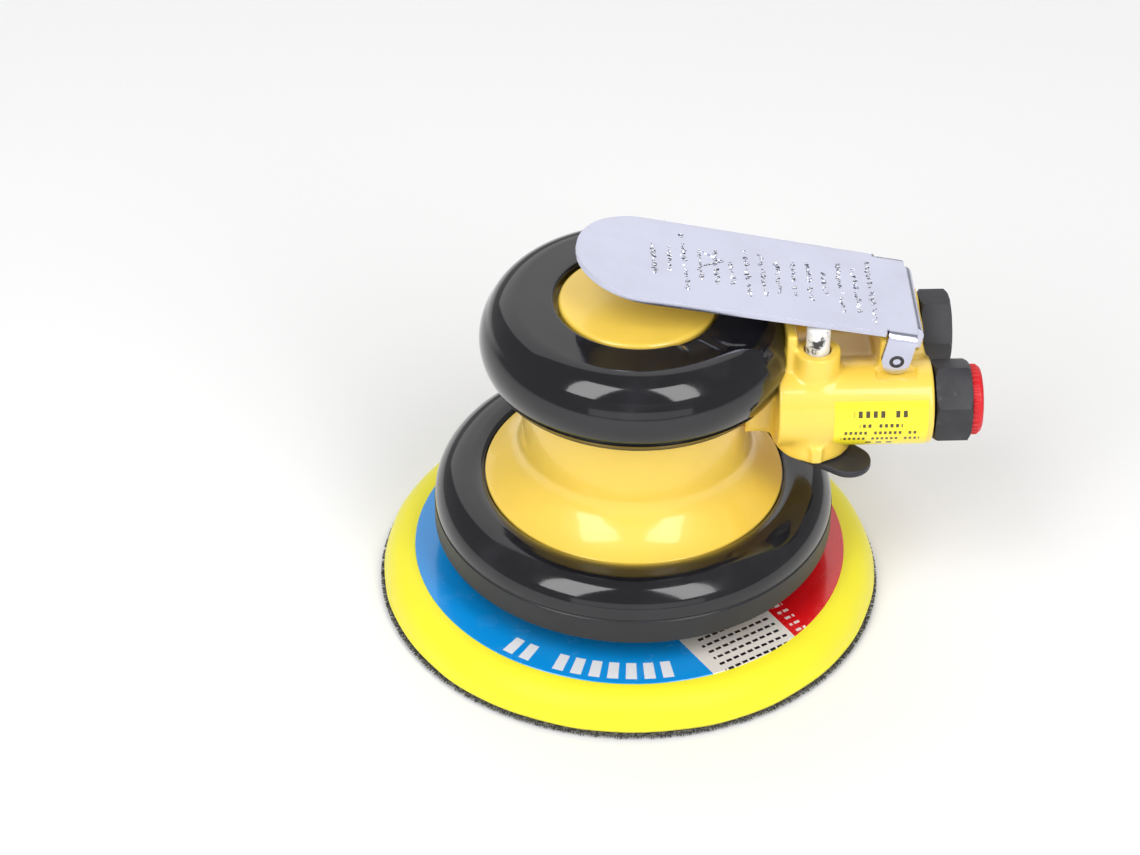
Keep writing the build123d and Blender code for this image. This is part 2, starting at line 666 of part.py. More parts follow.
# ---------------------------------------------------------------- inlet and throttle
def inlet_bushing():
    hexes = hexagon(BUSHING_AF, BUSHING_END_X - BUSHING_FACE_X, 6)
    tall = BUSHING_END_X - BUSHING_FACE_X
    corner = turned(
        (0, 0),
        (BUSHING_AF / 2 + 0.2, 0),
        (BUSHING_AF / 2 + 1.6, HEX_CHAMFER),
        (BUSHING_AF / 2 + 1.6, tall - HEX_CHAMFER),
        (BUSHING_AF / 2 + 0.2, tall),
        (0, tall),
    )
    hexes = hexes & corner
    body = Pos(BUSHING_FACE_X, 0, 0) * Rot(0, 90, 0) * hexes
    body += rod_x(BUSHING_THREAD_R - 0.05, BUSHING_INNER_X, BUSHING_FACE_X)
    body -= rod_x(INLET_R, INLET_FLOOR_X, BUSHING_END_X + 1)
    body -= rod_x(COUNTERBORE_R, BUSHING_END_X - COUNTERBORE_DEEP, BUSHING_END_X + 1)
    body -= rod_x(BUSHING_BORE_R, BUSHING_INNER_X - 1, BUSHING_END_X)
    body -= rod_x(SCREEN_R, INLET_FLOOR_X - SCREEN_DEEP, BUSHING_END_X)
    body -= tube_x(BUSHING_THREAD_R + 1, BUSHING_THREAD_R - 0.9, 69.0, BUSHING_FACE_X)
    return Pos(0, -BARREL_Y, BARREL_Z) * body


def bushing_o_ring():
    ring = Pos(70.0, -BARREL_Y, BARREL_Z) * Rot(0, 90, 0) * Torus(BUSHING_THREAD_R - 0.47, 0.42)
    return ring


def inlet_screen():
    """Perforated disc in a recess below the inlet thread."""
    low = INLET_FLOOR_X - SCREEN_DEEP
    disc = rod_x(SCREEN_R - 0.05, low, low + SCREEN_THICK)
    for index in range(8):
        y, z = polar(3.1, 45 * index)
        disc -= rod_x(0.7, low - 1, low + 2, y, z)
    disc -= rod_x(0.8, low - 1, low + 2)
    return Pos(0, -BARREL_Y, BARREL_Z) * disc


def dust_plug():
    """Domed shipping plug with a fine-toothed rim and a short spigot."""
    rim = BUSHING_END_X + 0.1
    cap = turned(
        (0, 0),
        (8.6, 0),
        (8.6, 1.9),
        ((8.2, 2.5), (7.2, 2.75)),
        crown(7.2, 2.75, 3.2),
    )
    for index in range(36):
        x, y = polar(8.75, 10 * index)
        cap -= rod_z(0.32, -1, 2.1, x, y)
    plug = Pos(rim, 0, 0) * Rot(0, 90, 0) * cap
    plug += rod_x(COUNTERBORE_R - 0.05, rim - 2.0, rim)
    plug -= rod_x(COUNTERBORE_R - 1.3, rim - 3.0, rim - 0.1)
    return Pos(0, -BARREL_Y, BARREL_Z) * plug


def valve_seat():
    return tube_x(SPRING_CHAMBER_R - 0.03, SEAT_HOLE_R, SEAT_FRONT_X, SEAT_BACK_X, -BARREL_Y, BARREL_Z)


def valve_spring():
    """Conical wire spring between the bushing and the back of the tip valve."""
    path = Helix(pitch=1.1, height=2.6, radius=3.3, center=(0, 0, 0), cone_angle=20)
    start = path @ 0
    profile = Plane(origin=start, z_dir=path % 0) * Circle(SPRING_WIRE_R)
    coil = sweep(profile, path)
    return Pos(SPRING_START_X, -BARREL_Y, BARREL_Z) * Rot(0, 90, 0) * coil


def tip_valve():
    """Steel disc with a tail that the stem pushes sideways."""
    y = -BARREL_Y
    head = rod_x(TIP_HEAD_R - 0.4, SEAT_BACK_X + 1.0, SEAT_BACK_X + 1.9, y, BARREL_Z)
    tail = rod_x(TIP_TAIL_R, TIP_TAIL_END_X, SEAT_BACK_X + 1.5, y, BARREL_Z)
    return head + tail


def tip_valve_face():
    """Rubber washer that closes the seat, with the bead on its rim that it rocks on."""
    washer = tube_x(TIP_HEAD_R, TIP_TAIL_R, SEAT_BACK_X + 0.08, SEAT_BACK_X + 1.0, -BARREL_Y, BARREL_Z)
    bead = rod_y(TIP_BEAD_R, -BARREL_Y - 1, -BARREL_Y + 1, TIP_PIVOT_X, TIP_PIVOT_Z)
    return washer + bead


def valve_stem():
    """Plastic push rod with a domed top and a thin nose above the valve tail."""
    nose_low = BARREL_Z + TIP_TAIL_R + 0.3
    rod = turned(
        (0, nose_low),
        (STEM_NOSE_R, nose_low),
        (STEM_NOSE_R, STEM_NOSE_TOP),
        (STEM_R, STEM_NOSE_TOP + 1.4),
        (STEM_R, STEM_TOP - 0.9),
        crown(STEM_R, STEM_TOP - 0.9, STEM_TOP),
    )
    return Pos(VALVE_X, -BARREL_Y, 0) * rod


def stem_guide():
    return tube_z(GUIDE_R - 0.02, STEM_R + RUNNING_FIT, GUIDE_BOTTOM, GUIDE_TOP, VALVE_X, -BARREL_Y)


def stem_o_ring():
    minor = (GUIDE_R - STEM_R) / 2 - 0.04
    ring = Torus((GUIDE_R + STEM_R) / 2, minor)
    return Pos(VALVE_X, -BARREL_Y, GUIDE_BOTTOM - minor - 0.05) * ring


# ---------------------------------------------------------------- regulator
def regulator_valve():
    """Hollow plug: a wide window for the valve's tail and a port towards the motor."""
    plug_r = REGULATOR_BORE_R - RUNNING_FIT
    body = rod_z(plug_r, REGULATOR_STEP_Z, REGULATOR_TOP)
    body += rod_z(REGULATOR_SKIRT_R, VALVE_BODY_BOTTOM, REGULATOR_STEP_Z)
    body += rod_z(REGULATOR_SHANK_R, REGULATOR_LEVER_BOTTOM, VALVE_BODY_BOTTOM)
    body -= rod_z(REGULATOR_HOLLOW_R, REGULATOR_FLOOR, REGULATOR_TOP + 1)
    body -= rod_x(REGULATOR_PORT_R, -10, 0, 0, BARREL_Z)
    sector = [(0.0, 0.0)]
    for degrees in (-62, -31, 0, 36, 72):
        sector.append(polar(9.0, degrees))
    window = extrude(make_face(Polyline(*sector, close=True)), REGULATOR_TOP)
    body -= Pos(0, 0, REGULATOR_WINDOW_Z) * window
    body -= tube_z(plug_r + 1, 4.8, REGULATOR_SEAL_Z - 0.55, REGULATOR_SEAL_Z + 0.55)
    body -= rod_z(REGULATOR_SCREW_R + 0.05, REGULATOR_LEVER_BOTTOM - 1, VALVE_BODY_BOTTOM + 3)
    return Pos(VALVE_X, -BARREL_Y, 0) * body


def regulator_o_ring():
    return Pos(VALVE_X, -BARREL_Y, REGULATOR_SEAL_Z) * Torus(5.32, 0.5)


def regulator_clip():
    low = CLIP_BOTTOM + 0.05
    ring = tube_z(REGULATOR_BORE_R + 0.7, REGULATOR_SKIRT_R + 0.1, low, low + CLIP_THICK)
    ring -= block((-10, -1.5, 50), (0, 1.5, 60))
    return Pos(VALVE_X, -BARREL_Y, 0) * ring


def regulator_lever():
    tall = REGULATOR_LEVER_TOP - REGULATOR_LEVER_BOTTOM
    hub = Cylinder(REGULATOR_HUB_R, tall, align=CENTRE_LOW)
    paddle = Pos(REGULATOR_LEVER_REACH, 0, 0) * Cylinder(REGULATOR_PADDLE_R, tall, align=CENTRE_LOW)
    bridge = Box(REGULATOR_LEVER_REACH, 9.4, tall, align=(Align.MIN, Align.CENTER, Align.MIN))
    body = hub + paddle + bridge
    body = fillet(body.faces().sort_by(Axis.Z)[0].edges(), 0.5)
    body -= Pos(0, 0, -1) * Cylinder(REGULATOR_SHANK_R + 0.02, tall + 2, align=CENTRE_LOW)
    body = Rot(0, 0, REGULATOR_LEVER_DEG) * body
    return Pos(VALVE_X, -BARREL_Y, REGULATOR_LEVER_BOTTOM) * body


def regulator_screw():
    low = REGULATOR_LEVER_BOTTOM
    screw = rod_z(SCREW_HEAD_R, low - SCREW_HEAD_TALL, low) + rod_z(REGULATOR_SCREW_R, low, low + 4.5)
    screw -= block((-5, -0.5, low - 2), (5, 0.5, low - 0.9))
    return Pos(VALVE_X, -BARREL_Y, 0) * screw


# ---------------------------------------------------------------- exhaust
def muffler_body():
    end = MUFFLER_END_X - ARM_END_X - 0.5
    hexes = hexagon(MUFFLER_AF, end, 16)
    collar = turned(
        (0, 0),
        (MUFFLER_AF / 2 + 1.6, 0),
        (MUFFLER_AF / 2 + 1.6, end - 0.9),
        (MUFFLER_AF / 2 + 0.3, end),
        (0, end),
    )
    hexes = hexes & collar
    body = Pos(ARM_END_X + 0.5, 0, 0) * Rot(0, 90, 0) * hexes
    body += rod_x(MUFFLER_R - 0.05, MUFFLER_START_X + 2, ARM_END_X + 0.5)
    body -= rod_x(MUFFLER_BORE_R, MUFFLER_START_X, MUFFLER_END_X - MUFFLER_FACE)
    for index in range(6):
        y, z = polar(MUFFLER_HOLE_RING, 60 * index)
        body -= rod_x(MUFFLER_HOLE_R, MUFFLER_END_X - 3, MUFFLER_END_X + 1, y, z)
    body -= rod_x(MUFFLER_HOLE_R, MUFFLER_END_X - 3, MUFFLER_END_X + 1)
    return Pos(0, BARREL_Y, BARREL_Z) * body


def muffler_felt():
    return rod_x(MUFFLER_BORE_R - 0.05, 58, MUFFLER_END_X - MUFFLER_FACE - 0.1, BARREL_Y, BARREL_Z)


# ---------------------------------------------------------------- lever
def lever_sheet():
    """Flat part of the lever, drawn level with the hinge pin at the origin."""
    low = LEVER_UNDERSIDE
    wide = LEVER_TIP_R
    with BuildSketch() as outline:
        with BuildLine():
            Line((LEVER_TIP_CENTRE, wide), (-5.2, LEVER_NARROW_HALF))
            Line((-5.2, LEVER_NARROW_HALF), (-EAR_HALF_WIDE, EAR_INNER + LEVER_THICK))
            Line((-EAR_HALF_WIDE, EAR_INNER + LEVER_THICK), (EAR_HALF_WIDE, EAR_INNER + LEVER_THICK))
            Line((EAR_HALF_WIDE, EAR_INNER + LEVER_THICK), (4.4, TAB_HALF))
            Line((4.4, TAB_HALF), (LEVER_END, TAB_HALF))
            Line((LEVER_END, TAB_HALF), (LEVER_END, -TAB_HALF))
            Line((LEVER_END, -TAB_HALF), (4.4, -TAB_HALF))
            Line((4.4, -TAB_HALF), (EAR_HALF_WIDE, -EAR_INNER - LEVER_THICK))
            Line((EAR_HALF_WIDE, -EAR_INNER - LEVER_THICK), (-EAR_HALF_WIDE, -EAR_INNER - LEVER_THICK))
            Line((-EAR_HALF_WIDE, -EAR_INNER - LEVER_THICK), (-5.2, -LEVER_NARROW_HALF))
            Line((-5.2, -LEVER_NARROW_HALF), (LEVER_TIP_CENTRE, -wide))
            ThreePointArc((LEVER_TIP_CENTRE, -wide), (LEVER_TIP_CENTRE - wide, 0), (LEVER_TIP_CENTRE, wide))
        make_face()
    return Pos(0, 0, low) * extrude(outline.sketch, LEVER_THICK)


def lever():
    """Pressed lever: sheet, two pierced ears and a folded end tab."""
    top = LEVER_UNDERSIDE + LEVER_THICK
    sheet = lever_sheet()
    for side in (-1, 1):
        ends = sorted((side * EAR_INNER, side * (EAR_INNER + LEVER_THICK)))
        ear = block((-EAR_HALF_WIDE, ends[0], 0), (EAR_HALF_WIDE, ends[1], top - 0.2))
        ear += rod_y(EAR_HALF_WIDE, ends[0], ends[1])
        ear -= rod_y(PIN_R + 0.02, ends[0] - 1, ends[1] + 1)
        sheet += ear
    tab = block((LEVER_END - LEVER_THICK, -TAB_HALF, 0.1), (LEVER_END, TAB_HALF, top - 0.2))
    tab = chamfer(tab.edges().filter_by(Axis.X).sort_by(Axis.Z)[:2], 1.8)
    sheet += tab
    return Pos(HINGE_X, 0, HINGE_Z) * Rot(0, LEVER_TILT, 0) * sheet


def lever_pin():
    """Hinge pin with a hexagon socket in each end."""
    pin = rod_y(PIN_R, -PIN_HALF, PIN_HALF)
    pin = chamfer(pin.faces().sort_by(Axis.Y)[0].edges() + pin.faces().sort_by(Axis.Y)[-1].edges(), 0.3)
    for turn in (90, -90):
        pin -= Rot(turn, 0, 0) * Pos(0, 0, PIN_HALF - 2.5) * hexagon(1.9, 3.0)
    return Pos(HINGE_X, 0, HINGE_Z) * pin


# ---------------------------------------------------------------- build
def write_bearings():
    lower = bearing(LOWER_BEARING_R, SHAFT_R, LOWER_BEARING_WIDE, LOWER_PLATE_BOTTOM + 0.1, 9)
    upper_low = UPPER_PLATE_TOP - UPPER_BEARING_WIDE
    upper = bearing(UPPER_BEARING_R, SHAFT_TOP_R, UPPER_BEARING_WIDE, upper_low, 7)
    write("motor_bearing_outer_rings", lower[0], upper[0])
    write("motor_bearing_inner_rings", lower[1], upper[1])
    write("motor_bearing_balls", *lower[2], *upper[2])
    pair = []
    for index in range(2):
        low = PAD_BEARING_Z + index * PAD_BEARING_WIDE
        pair.append(bearing(PAD_BEARING_R, JOURNAL_R, PAD_BEARING_WIDE, low, 8, ORBIT_X, ORBIT_Y))
    write("pad_bearing_outer_rings", *[one[0] for one in pair])
    write("pad_bearing_inner_rings", *[one[1] for one in pair])
    write("pad_bearing_balls", *[ball for one in pair for ball in one[2]])


def main():
    os.makedirs("parts", exist_ok=True)
    single = [
        pad_hook, pad_foam, pad_backing, pad_stud, pad_label, spindle, spindle_circlip,
        crankshaft, counterweight, rotor, rotor_key, shaft_circlip, cup_snap_ring,
        motor_cylinder, lower_end_plate, upper_end_plate, lock_ring,
        housing, housing_arm, shroud, grip_ring, inlet_sticker,
        inlet_bushing, bushing_o_ring, inlet_screen, dust_plug,
        valve_seat, valve_spring, tip_valve, tip_valve_face, valve_stem, stem_guide, stem_o_ring,
        regulator_valve, regulator_o_ring, regulator_clip, regulator_lever, regulator_screw,
        muffler_body, muffler_felt, lever, lever_pin,
    ]
    for make in single:
        write(make.__name__, make())
    for make in (pad_rivets, weight_bolts, rotor_blades, dowel_pins):
        write(make.__name__, *make())
    write_bearings()


main()
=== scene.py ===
"""Looks of a palm-size pneumatic random-orbit sander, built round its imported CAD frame."""

import json
import math

import bmesh
import bpy
from mathutils import Matrix, Vector


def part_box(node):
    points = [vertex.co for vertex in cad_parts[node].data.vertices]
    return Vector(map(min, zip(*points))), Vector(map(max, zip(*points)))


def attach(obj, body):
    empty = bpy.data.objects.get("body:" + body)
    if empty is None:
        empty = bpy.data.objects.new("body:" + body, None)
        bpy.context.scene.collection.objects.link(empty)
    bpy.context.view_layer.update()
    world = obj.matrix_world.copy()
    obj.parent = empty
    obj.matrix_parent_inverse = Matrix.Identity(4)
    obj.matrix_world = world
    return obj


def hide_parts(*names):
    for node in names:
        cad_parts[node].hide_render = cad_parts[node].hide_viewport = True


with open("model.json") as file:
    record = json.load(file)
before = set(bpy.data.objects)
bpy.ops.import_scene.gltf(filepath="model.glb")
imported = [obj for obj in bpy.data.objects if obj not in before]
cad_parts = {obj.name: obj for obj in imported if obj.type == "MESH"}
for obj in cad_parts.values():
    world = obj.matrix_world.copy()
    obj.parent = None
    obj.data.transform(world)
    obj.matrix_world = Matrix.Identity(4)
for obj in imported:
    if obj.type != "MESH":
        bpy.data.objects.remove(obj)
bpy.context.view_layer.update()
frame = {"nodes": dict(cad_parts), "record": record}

bl_info = {
    "name": "Palm Sander Looks",
    "version": (1, 0, 0),
    "blender": (4, 5, 0),
    "location": "View3D > Sidebar > Sander",
    "description": "Builds the visible pieces, finishes and stage of a palm sander",
    "category": "Object",
}

MM = 0.001
SMOOTH_ANGLE = math.radians(32)
BARREL_Y = 14.5
BARREL_Z = 64.4
VALVE_X = 42.5
HINGE = Vector((61.4, 0.0, 78.0))
BARREL_R = 10.4
STEM_BOSS_R = 5.6
PRINT_TURN = math.radians(31)
WHITE_FROM, RED_FROM = -11.3, 13.5
FLOOR_HALF = 6.0
EYE = Vector((-47.1, -683.2, 582.0))


def centre_of(node):
    """Middle of a CAD node's box, in millimetres."""
    low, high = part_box(node)
    return (low + high) / 2 / MM


PAD_CENTRE = centre_of("pad_hook")


# ------------------------------------------------------------------ node expressions
class Wire:
    """A socket that can be used in a Python expression."""

    def __init__(self, graph, socket):
        self.graph = graph
        self.socket = socket

    def math(self, operation, *others):
        operands = dict(enumerate([self, *others]))
        return self.graph.add("ShaderNodeMath", {"operation": operation}, operands)

    def __rsub__(self, other):
        return (self * -1).math("ADD", other)

    def root(self):
        return self.math("SQRT")

    def low(self, other):
        return self.math("MINIMUM", other)

    def high(self, other):
        return self.math("MAXIMUM", other)

    def ramp(self, start, end):
        """0 below start, 1 above end, smooth between."""
        sockets = {"Value": self, "From Min": start, "From Max": end}
        return self.graph.add("ShaderNodeMapRange", {"interpolation_type": "SMOOTHSTEP"}, sockets)


def expression(operation):
    return lambda wire, *others: wire.math(operation, *others)


for sign, operation in {
    "add": "ADD", "radd": "ADD", "sub": "SUBTRACT", "mul": "MULTIPLY", "rmul": "MULTIPLY",
    "truediv": "DIVIDE", "pow": "POWER", "gt": "GREATER_THAN", "lt": "LESS_THAN", "abs": "ABSOLUTE",
}.items():
    setattr(Wire, f"__{sign}__", expression(operation))


class Graph:
    """A node tree with one way to add a node of any kind."""

    def __init__(self, tree):
        self.tree = tree

    def add(self, kind, settings=None, sockets=None, output=0):
        node = self.tree.nodes.new(kind)
        for name, value in (settings or {}).items():
            setattr(node, name, value)
        for key, value in (sockets or {}).items():
            target = self.socket_of(node.inputs, key)
            if isinstance(value, Wire):
                self.tree.links.new(value.socket, target)
            else:
                target.default_value = value
        return Wire(self, self.socket_of(node.outputs, output))

    @staticmethod
    def socket_of(sockets, key):
        if isinstance(key, int):
            return sockets[key]
        named = [s for s in sockets if s.identifier == key]
        named = named or [s for s in sockets if s.name == key and s.enabled]
        return named[0]

    def blend(self, factor, first, second):
        sockets = {"Factor_Float": factor, "A_Color": first, "B_Color": second}
        return self.add("ShaderNodeMix", {"data_type": "RGBA"}, sockets, "Result_Color")

    def noise(self, where, scale, detail=2.0, rough=0.5):
        sockets = {"Vector": where, "Scale": scale, "Detail": detail, "Roughness": rough}
        return self.add("ShaderNodeTexNoise", None, sockets)

    def parts(self, vector):
        """The x, y and z wires of a vector."""
        first = self.add("ShaderNodeSeparateXYZ", None, {"Vector": vector})
        return [Wire(self, first.socket.node.outputs[i]) for i in range(3)]

    def bump(self, height, distance, strength=1.0):
        sockets = {"Height": height, "Distance": distance, "Strength": strength}
        return self.add("ShaderNodeBump", None, sockets)


class Finish(Graph):
    """A material with one principled shader."""

    def __init__(self, name, **constants):
        material = bpy.data.materials.new(name)
        material.use_nodes = True
        super().__init__(material.node_tree)
        self.material = material
        self.shader = next(n for n in self.tree.nodes if n.type == "BSDF_PRINCIPLED")
        self.place = self.add("ShaderNodeTexCoord", None, None, "Object")
        for key, value in constants.items():
            self.shader.inputs[key.replace("_", " ")].default_value = value

    def feed(self, name, wire):
        self.tree.links.new(wire.socket, self.shader.inputs[name])

    def grain(self, scale, distance, detail=2.0):
        """Fine surface relief, as a normal."""
        self.feed("Normal", self.bump(self.noise(self.place, scale, detail), distance))


# ------------------------------------------------------------------ finishes
def linear(red, green, blue):
    """Scene-linear colour from 0 to 255 display values."""
    def one(value):
        share = value / 255
        return share / 12.92 if share <= 0.04045 else ((share + 0.055) / 1.055) ** 2.4

    return (one(red), one(green), one(blue), 1.0)


def darker(tint, share):
    return tuple(c * share for c in tint[:3]) + (1.0,)


def colours():
    return bpy.context.scene.sander_colours


def enamel():
    f = Finish("yellow_enamel", Coat_Weight=0.55, Coat_Roughness=0.07, Specular_IOR_Level=0.5)
    tint = tuple(colours().enamel)
    deep = darker(tint, 0.86)
    patch = f.noise(f.place, 60, 3.0)
    f.feed("Base Color", f.blend(patch.ramp(0.35, 0.75) * 0.35, tint, deep))
    f.feed("Roughness", f.noise(f.place, 400, 2.0) * 0.16 + 0.24)
    peel = f.noise(f.place, 420, 2.0) + f.noise(f.place, 90, 1.0) * 1.5
    f.feed("Normal", f.bump(peel, 0.00004, 0.55))
    return f.material


def gloss_rubber(name, band_top):
    """Polished black rubber that turns matt below band_top, in metres."""
    f = Finish(name, Specular_IOR_Level=0.35, Coat_Roughness=0.05)
    height = f.parts(f.place)[2]
    matt = 1 - height.ramp(band_top - 0.0006, band_top + 0.0006)
    smear = f.noise(f.place, 55, 4.0, 0.62).ramp(0.45, 0.8)
    tone = f.blend(matt * 0.75, tuple(colours().rubber), linear(46, 46, 52))
    f.feed("Base Color", f.blend(smear * 0.12, tone, linear(84, 84, 92)))
    f.feed("Roughness", 0.1 + smear * 0.1 + matt * 0.3)
    f.feed("Coat Weight", 0.5 - matt * 0.5)
    f.grain(1600, 0.000008, 3.0)
    return f.material


def foam_skin():
    f = Finish("yellow_foam", Sheen_Weight=0.25, Specular_IOR_Level=0.35)
    patch = f.noise(f.place, 35, 3.0)
    tint = tuple(colours().foam)
    shade = (tint[0] * 0.93, tint[1] * 0.9, tint[2] * 0.8, 1.0)
    f.feed("Base Color", f.blend(patch.ramp(0.4, 0.8) * 0.4, tint, shade))
    f.feed("Roughness", 0.42 + f.noise(f.place, 900) * 0.15)
    pores = f.noise(f.place, 2400, 2.0) + f.noise(f.place, 160, 2.0) * 0.8
    f.feed("Normal", f.bump(pores, 0.00006, 0.5))
    return f.material


def hook_cloth():
    f = Finish("hook_cloth", Roughness=0.75, Sheen_Weight=0.3)
    fleck = f.noise(f.place, 1500, 2.0).ramp(0.45, 0.62)
    f.feed("Base Color", f.blend(fleck, linear(22, 22, 24), linear(120, 118, 112)))
    f.grain(2500, 0.0001)
    return f.material


def pad_print():
    """Three-band printed film: blue, warm white and red, with plain bars where print runs."""
    f = Finish("pad_print", Coat_Weight=0.6, Coat_Roughness=0.08, Specular_IOR_Level=0.5)
    east, north, _ = f.parts(f.place)
    east = (east - PAD_CENTRE.x * MM) / MM
    north = (north - PAD_CENTRE.y * MM) / MM
    across = east * math.cos(PRINT_TURN) + north * math.sin(PRINT_TURN)
    along = north * math.cos(PRINT_TURN) - east * math.sin(PRINT_TURN)
    radius = (east * east + north * north).root()
    is_white = across > WHITE_FROM
    is_red = across > RED_FROM
    ground = f.blend(is_white, tuple(colours().label_blue), tuple(colours().label_white))
    ground = f.blend(is_red, ground, tuple(colours().label_red))
    # Bold bars follow the rim of the blue band; their lengths are uneven, like words.
    angle = north.math("ARCTAN2", east) * (180 / math.pi)
    cell = angle * (1 / 5.0)
    bar = cell.math("FRACT").math("COMPARE", 0.5, 0.30)
    skip = (cell.math("FLOOR") * 0.37).math("FRACT") > 0.16
    ring = radius.math("COMPARE", 49.9, 2.9)
    sector = angle.math("COMPARE", -104, 29)
    bars = bar * skip * ring * sector * (1 - is_white)
    ground = f.blend(bars, ground, linear(238, 240, 244))
    # Fine dark dashes in rows fill the pale band and the red band.
    row = (along * (1 / 2.5)).math("FRACT").math("COMPARE", 0.5, 0.17)
    dash = (across * (1 / 2.1) + (along * (1 / 2.5)).math("FLOOR") * 0.43)
    dash = dash.math("FRACT").math("COMPARE", 0.5, 0.36)
    seam = across.math("COMPARE", RED_FROM, 1.4)
    field = across.math("COMPARE", 5.0, 13.0) * (across > -9.6) * (1 - seam)
    ink = row * dash * field * (along < -38)
    dark = f.blend(is_red, linear(40, 36, 40), linear(245, 225, 220))
    ground = f.blend(ink, ground, dark)
    dust = f.noise(f.place, 130, 3.0).ramp(0.5, 0.8)
    f.feed("Base Color", f.blend(dust * 0.03, ground, linear(200, 200, 200)))
    f.feed("Roughness", 0.24 + dust * 0.12)
    f.grain(700, 0.00001)
    return f.material


def bright_nickel():
    f = Finish("bright_nickel", Metallic=1.0)
    tint = tuple(colours().nickel)
    east, north, up = f.parts(f.place)
    stretched = f.add("ShaderNodeCombineXYZ", None, {0: east * 0.15, 1: north, 2: up})
    haze = f.noise(f.place, 45, 4.0, 0.6)
    brushed = f.noise(stretched, 2600, 2.0)
    dull = darker(tint, 0.86)
    f.feed("Base Color", f.blend(haze.ramp(0.35, 0.75) * 0.5, tint, dull))
    f.feed("Roughness", 0.15 + haze * 0.1 + brushed * 0.03)
    f.feed("Normal", f.bump(haze, 0.00002, 0.3))
    return f.material


def stamped_nickel():
    """Plated sheet for the struck marks, with painted light: near-white painted highlights stand for
    glints on the crests and dark painted shade for the flanks.
    """
    f = Finish("stamped_nickel", Metallic=1.0, Roughness=0.22)
    painted_glint_mask = f.noise(f.place, 1900, 2.0).ramp(0.42, 0.58)
    # Painted highlights and painted shade: noise mixes a dark shade colour with near-white glints in the
    # base colour.
    f.feed("Base Color", f.blend(painted_glint_mask, linear(96, 98, 118), linear(252, 252, 255)))
    f.grain(1500, 0.00006)
    return f.material


def black_oxide(name="black_oxide"):
    """Blackened steel; the wear attribute, where a mesh has it, rubs edges bare."""
    f = Finish(name, Specular_IOR_Level=0.5)
    wear = f.add("ShaderNodeAttribute", {"attribute_name": "wear"}, None, "Fac")
    scuff = f.noise(f.place, 700, 3.0)
    bare = (wear * scuff).ramp(0.42, 0.8)
    patch = f.noise(f.place, 180, 3.0)
    base = f.blend(patch.ramp(0.45, 0.8) * 0.4, linear(44, 44, 49), linear(66, 63, 67))
    f.feed("Base Color", f.blend(bare, base, linear(120, 116, 114)))
    f.feed("Metallic", 0.1 + bare * 0.7)
    f.feed("Roughness", 0.42 - bare * 0.12 + scuff * 0.1)
    f.grain(1500, 0.00003, 3.0)
    return f.material


def plain_plastic(name, tint, rough, relief=0.00002):
    f = Finish(name, Specular_IOR_Level=0.45)
    shade = darker(tint, 0.8)
    f.feed("Base Color", f.blend(f.noise(f.place, 150, 3.0).ramp(0.4, 0.8) * 0.5, tint, shade))
    f.feed("Roughness", f.noise(f.place, 900) * 0.12 + rough)
    f.grain(1800, relief)
    return f.material


def white_nylon():
    """Push rod plastic with dark grease smears."""
    f = Finish("white_nylon", Subsurface_Weight=0.1, Subsurface_Scale=0.001)
    smear = f.noise(f.place, 230, 4.0, 0.65).ramp(0.52, 0.64)
    f.feed("Base Color", f.blend(smear, linear(238, 238, 236), linear(58, 56, 56)))
    f.feed("Roughness", 0.34 - smear * 0.1)
    f.grain(900, 0.00002)
    return f.material


def turned_metal(name, tint, rough, metallic=1.0):
    """Machined metal with fine turning marks about the motor axis."""
    f = Finish(name)
    east, north, up = f.parts(f.place)
    radius = (east * east + north * north).root()
    lines = ((radius + up) * 14000).math("SINE")
    mottle = f.noise(f.place, 220, 3.0)
    shade = darker(tint, 0.75)
    f.shader.inputs["Metallic"].default_value = metallic
    f.feed("Base Color", f.blend(mottle.ramp(0.4, 0.75) * 0.6, tint, shade))
    f.feed("Roughness", rough + mottle * 0.12)
    f.feed("Normal", f.bump(lines, 0.000004, 0.4))
    return f.material


def fibre(name, tint, scale):
    f = Finish(name, Roughness=0.85, Sheen_Weight=0.3)
    shade = darker(tint, 0.5)
    f.feed("Base Color", f.blend(f.noise(f.place, scale, 4.0).ramp(0.4, 0.65), tint, shade))
    f.grain(scale, 0.00012, 4.0)
    return f.material


# Rows of bars on the sticker: level, half height, start, end, and bars in the full width.
STICKER_ROWS = (
    (0.19, 0.050, 0.21, 0.79, 12.5),
    (0.37, 0.030, 0.27, 0.73, 17.0),
    (0.50, 0.030, 0.11, 0.89, 19.0),
    (0.63, 0.030, 0.08, 0.92, 20.0),
    (0.76, 0.030, 0.32, 0.68, 9.0),
)


def sticker_print():
    """Lemon film; plain bars stand where lines of print would be."""
    f = Finish("sticker_print", Coat_Weight=0.5, Coat_Roughness=0.1)
    spot = f.add("ShaderNodeUVMap", {"uv_map": "film"})
    along, down, _ = f.parts(spot)
    ink = None
    for level, half, start, end, count in STICKER_ROWS:
        band = down.math("COMPARE", level, half)
        span = (along > start) * (along < end)
        letter = (along * count).math("FRACT").math("COMPARE", 0.45, 0.27)
        gap = ((along * count).math("FLOOR") * 0.29).math("FRACT") > 0.06
        line = band * span * letter * gap
        ink = line if ink is None else ink.high(line)
    fade = f.noise(f.place, 200, 2.0).ramp(0.4, 0.8) * 0.15
    ground = f.blend(fade, tuple(colours().sticker), linear(235, 210, 40))
    f.feed("Base Color", f.blend(ink, ground, linear(70, 62, 30)))
    f.feed("Roughness", 0.3 + fade)
    f.grain(800, 0.00001)
    return f.material


def floor_finish():
    f = Finish("pale_floor", Roughness=0.6, Specular_IOR_Level=0.2)
    tone = f.noise(f.place, 3.0, 2.0)
    f.feed("Base Color", f.blend(tone * 0.05, (0.93, 0.93, 0.93, 1.0), (0.88, 0.88, 0.88, 1.0)))
    return f.material


FINISHES = {}


def finish_named(name, make):
    """Each finish is made once."""
    if name not in FINISHES:
        FINISHES[name] = make()
    return FINISHES[name]


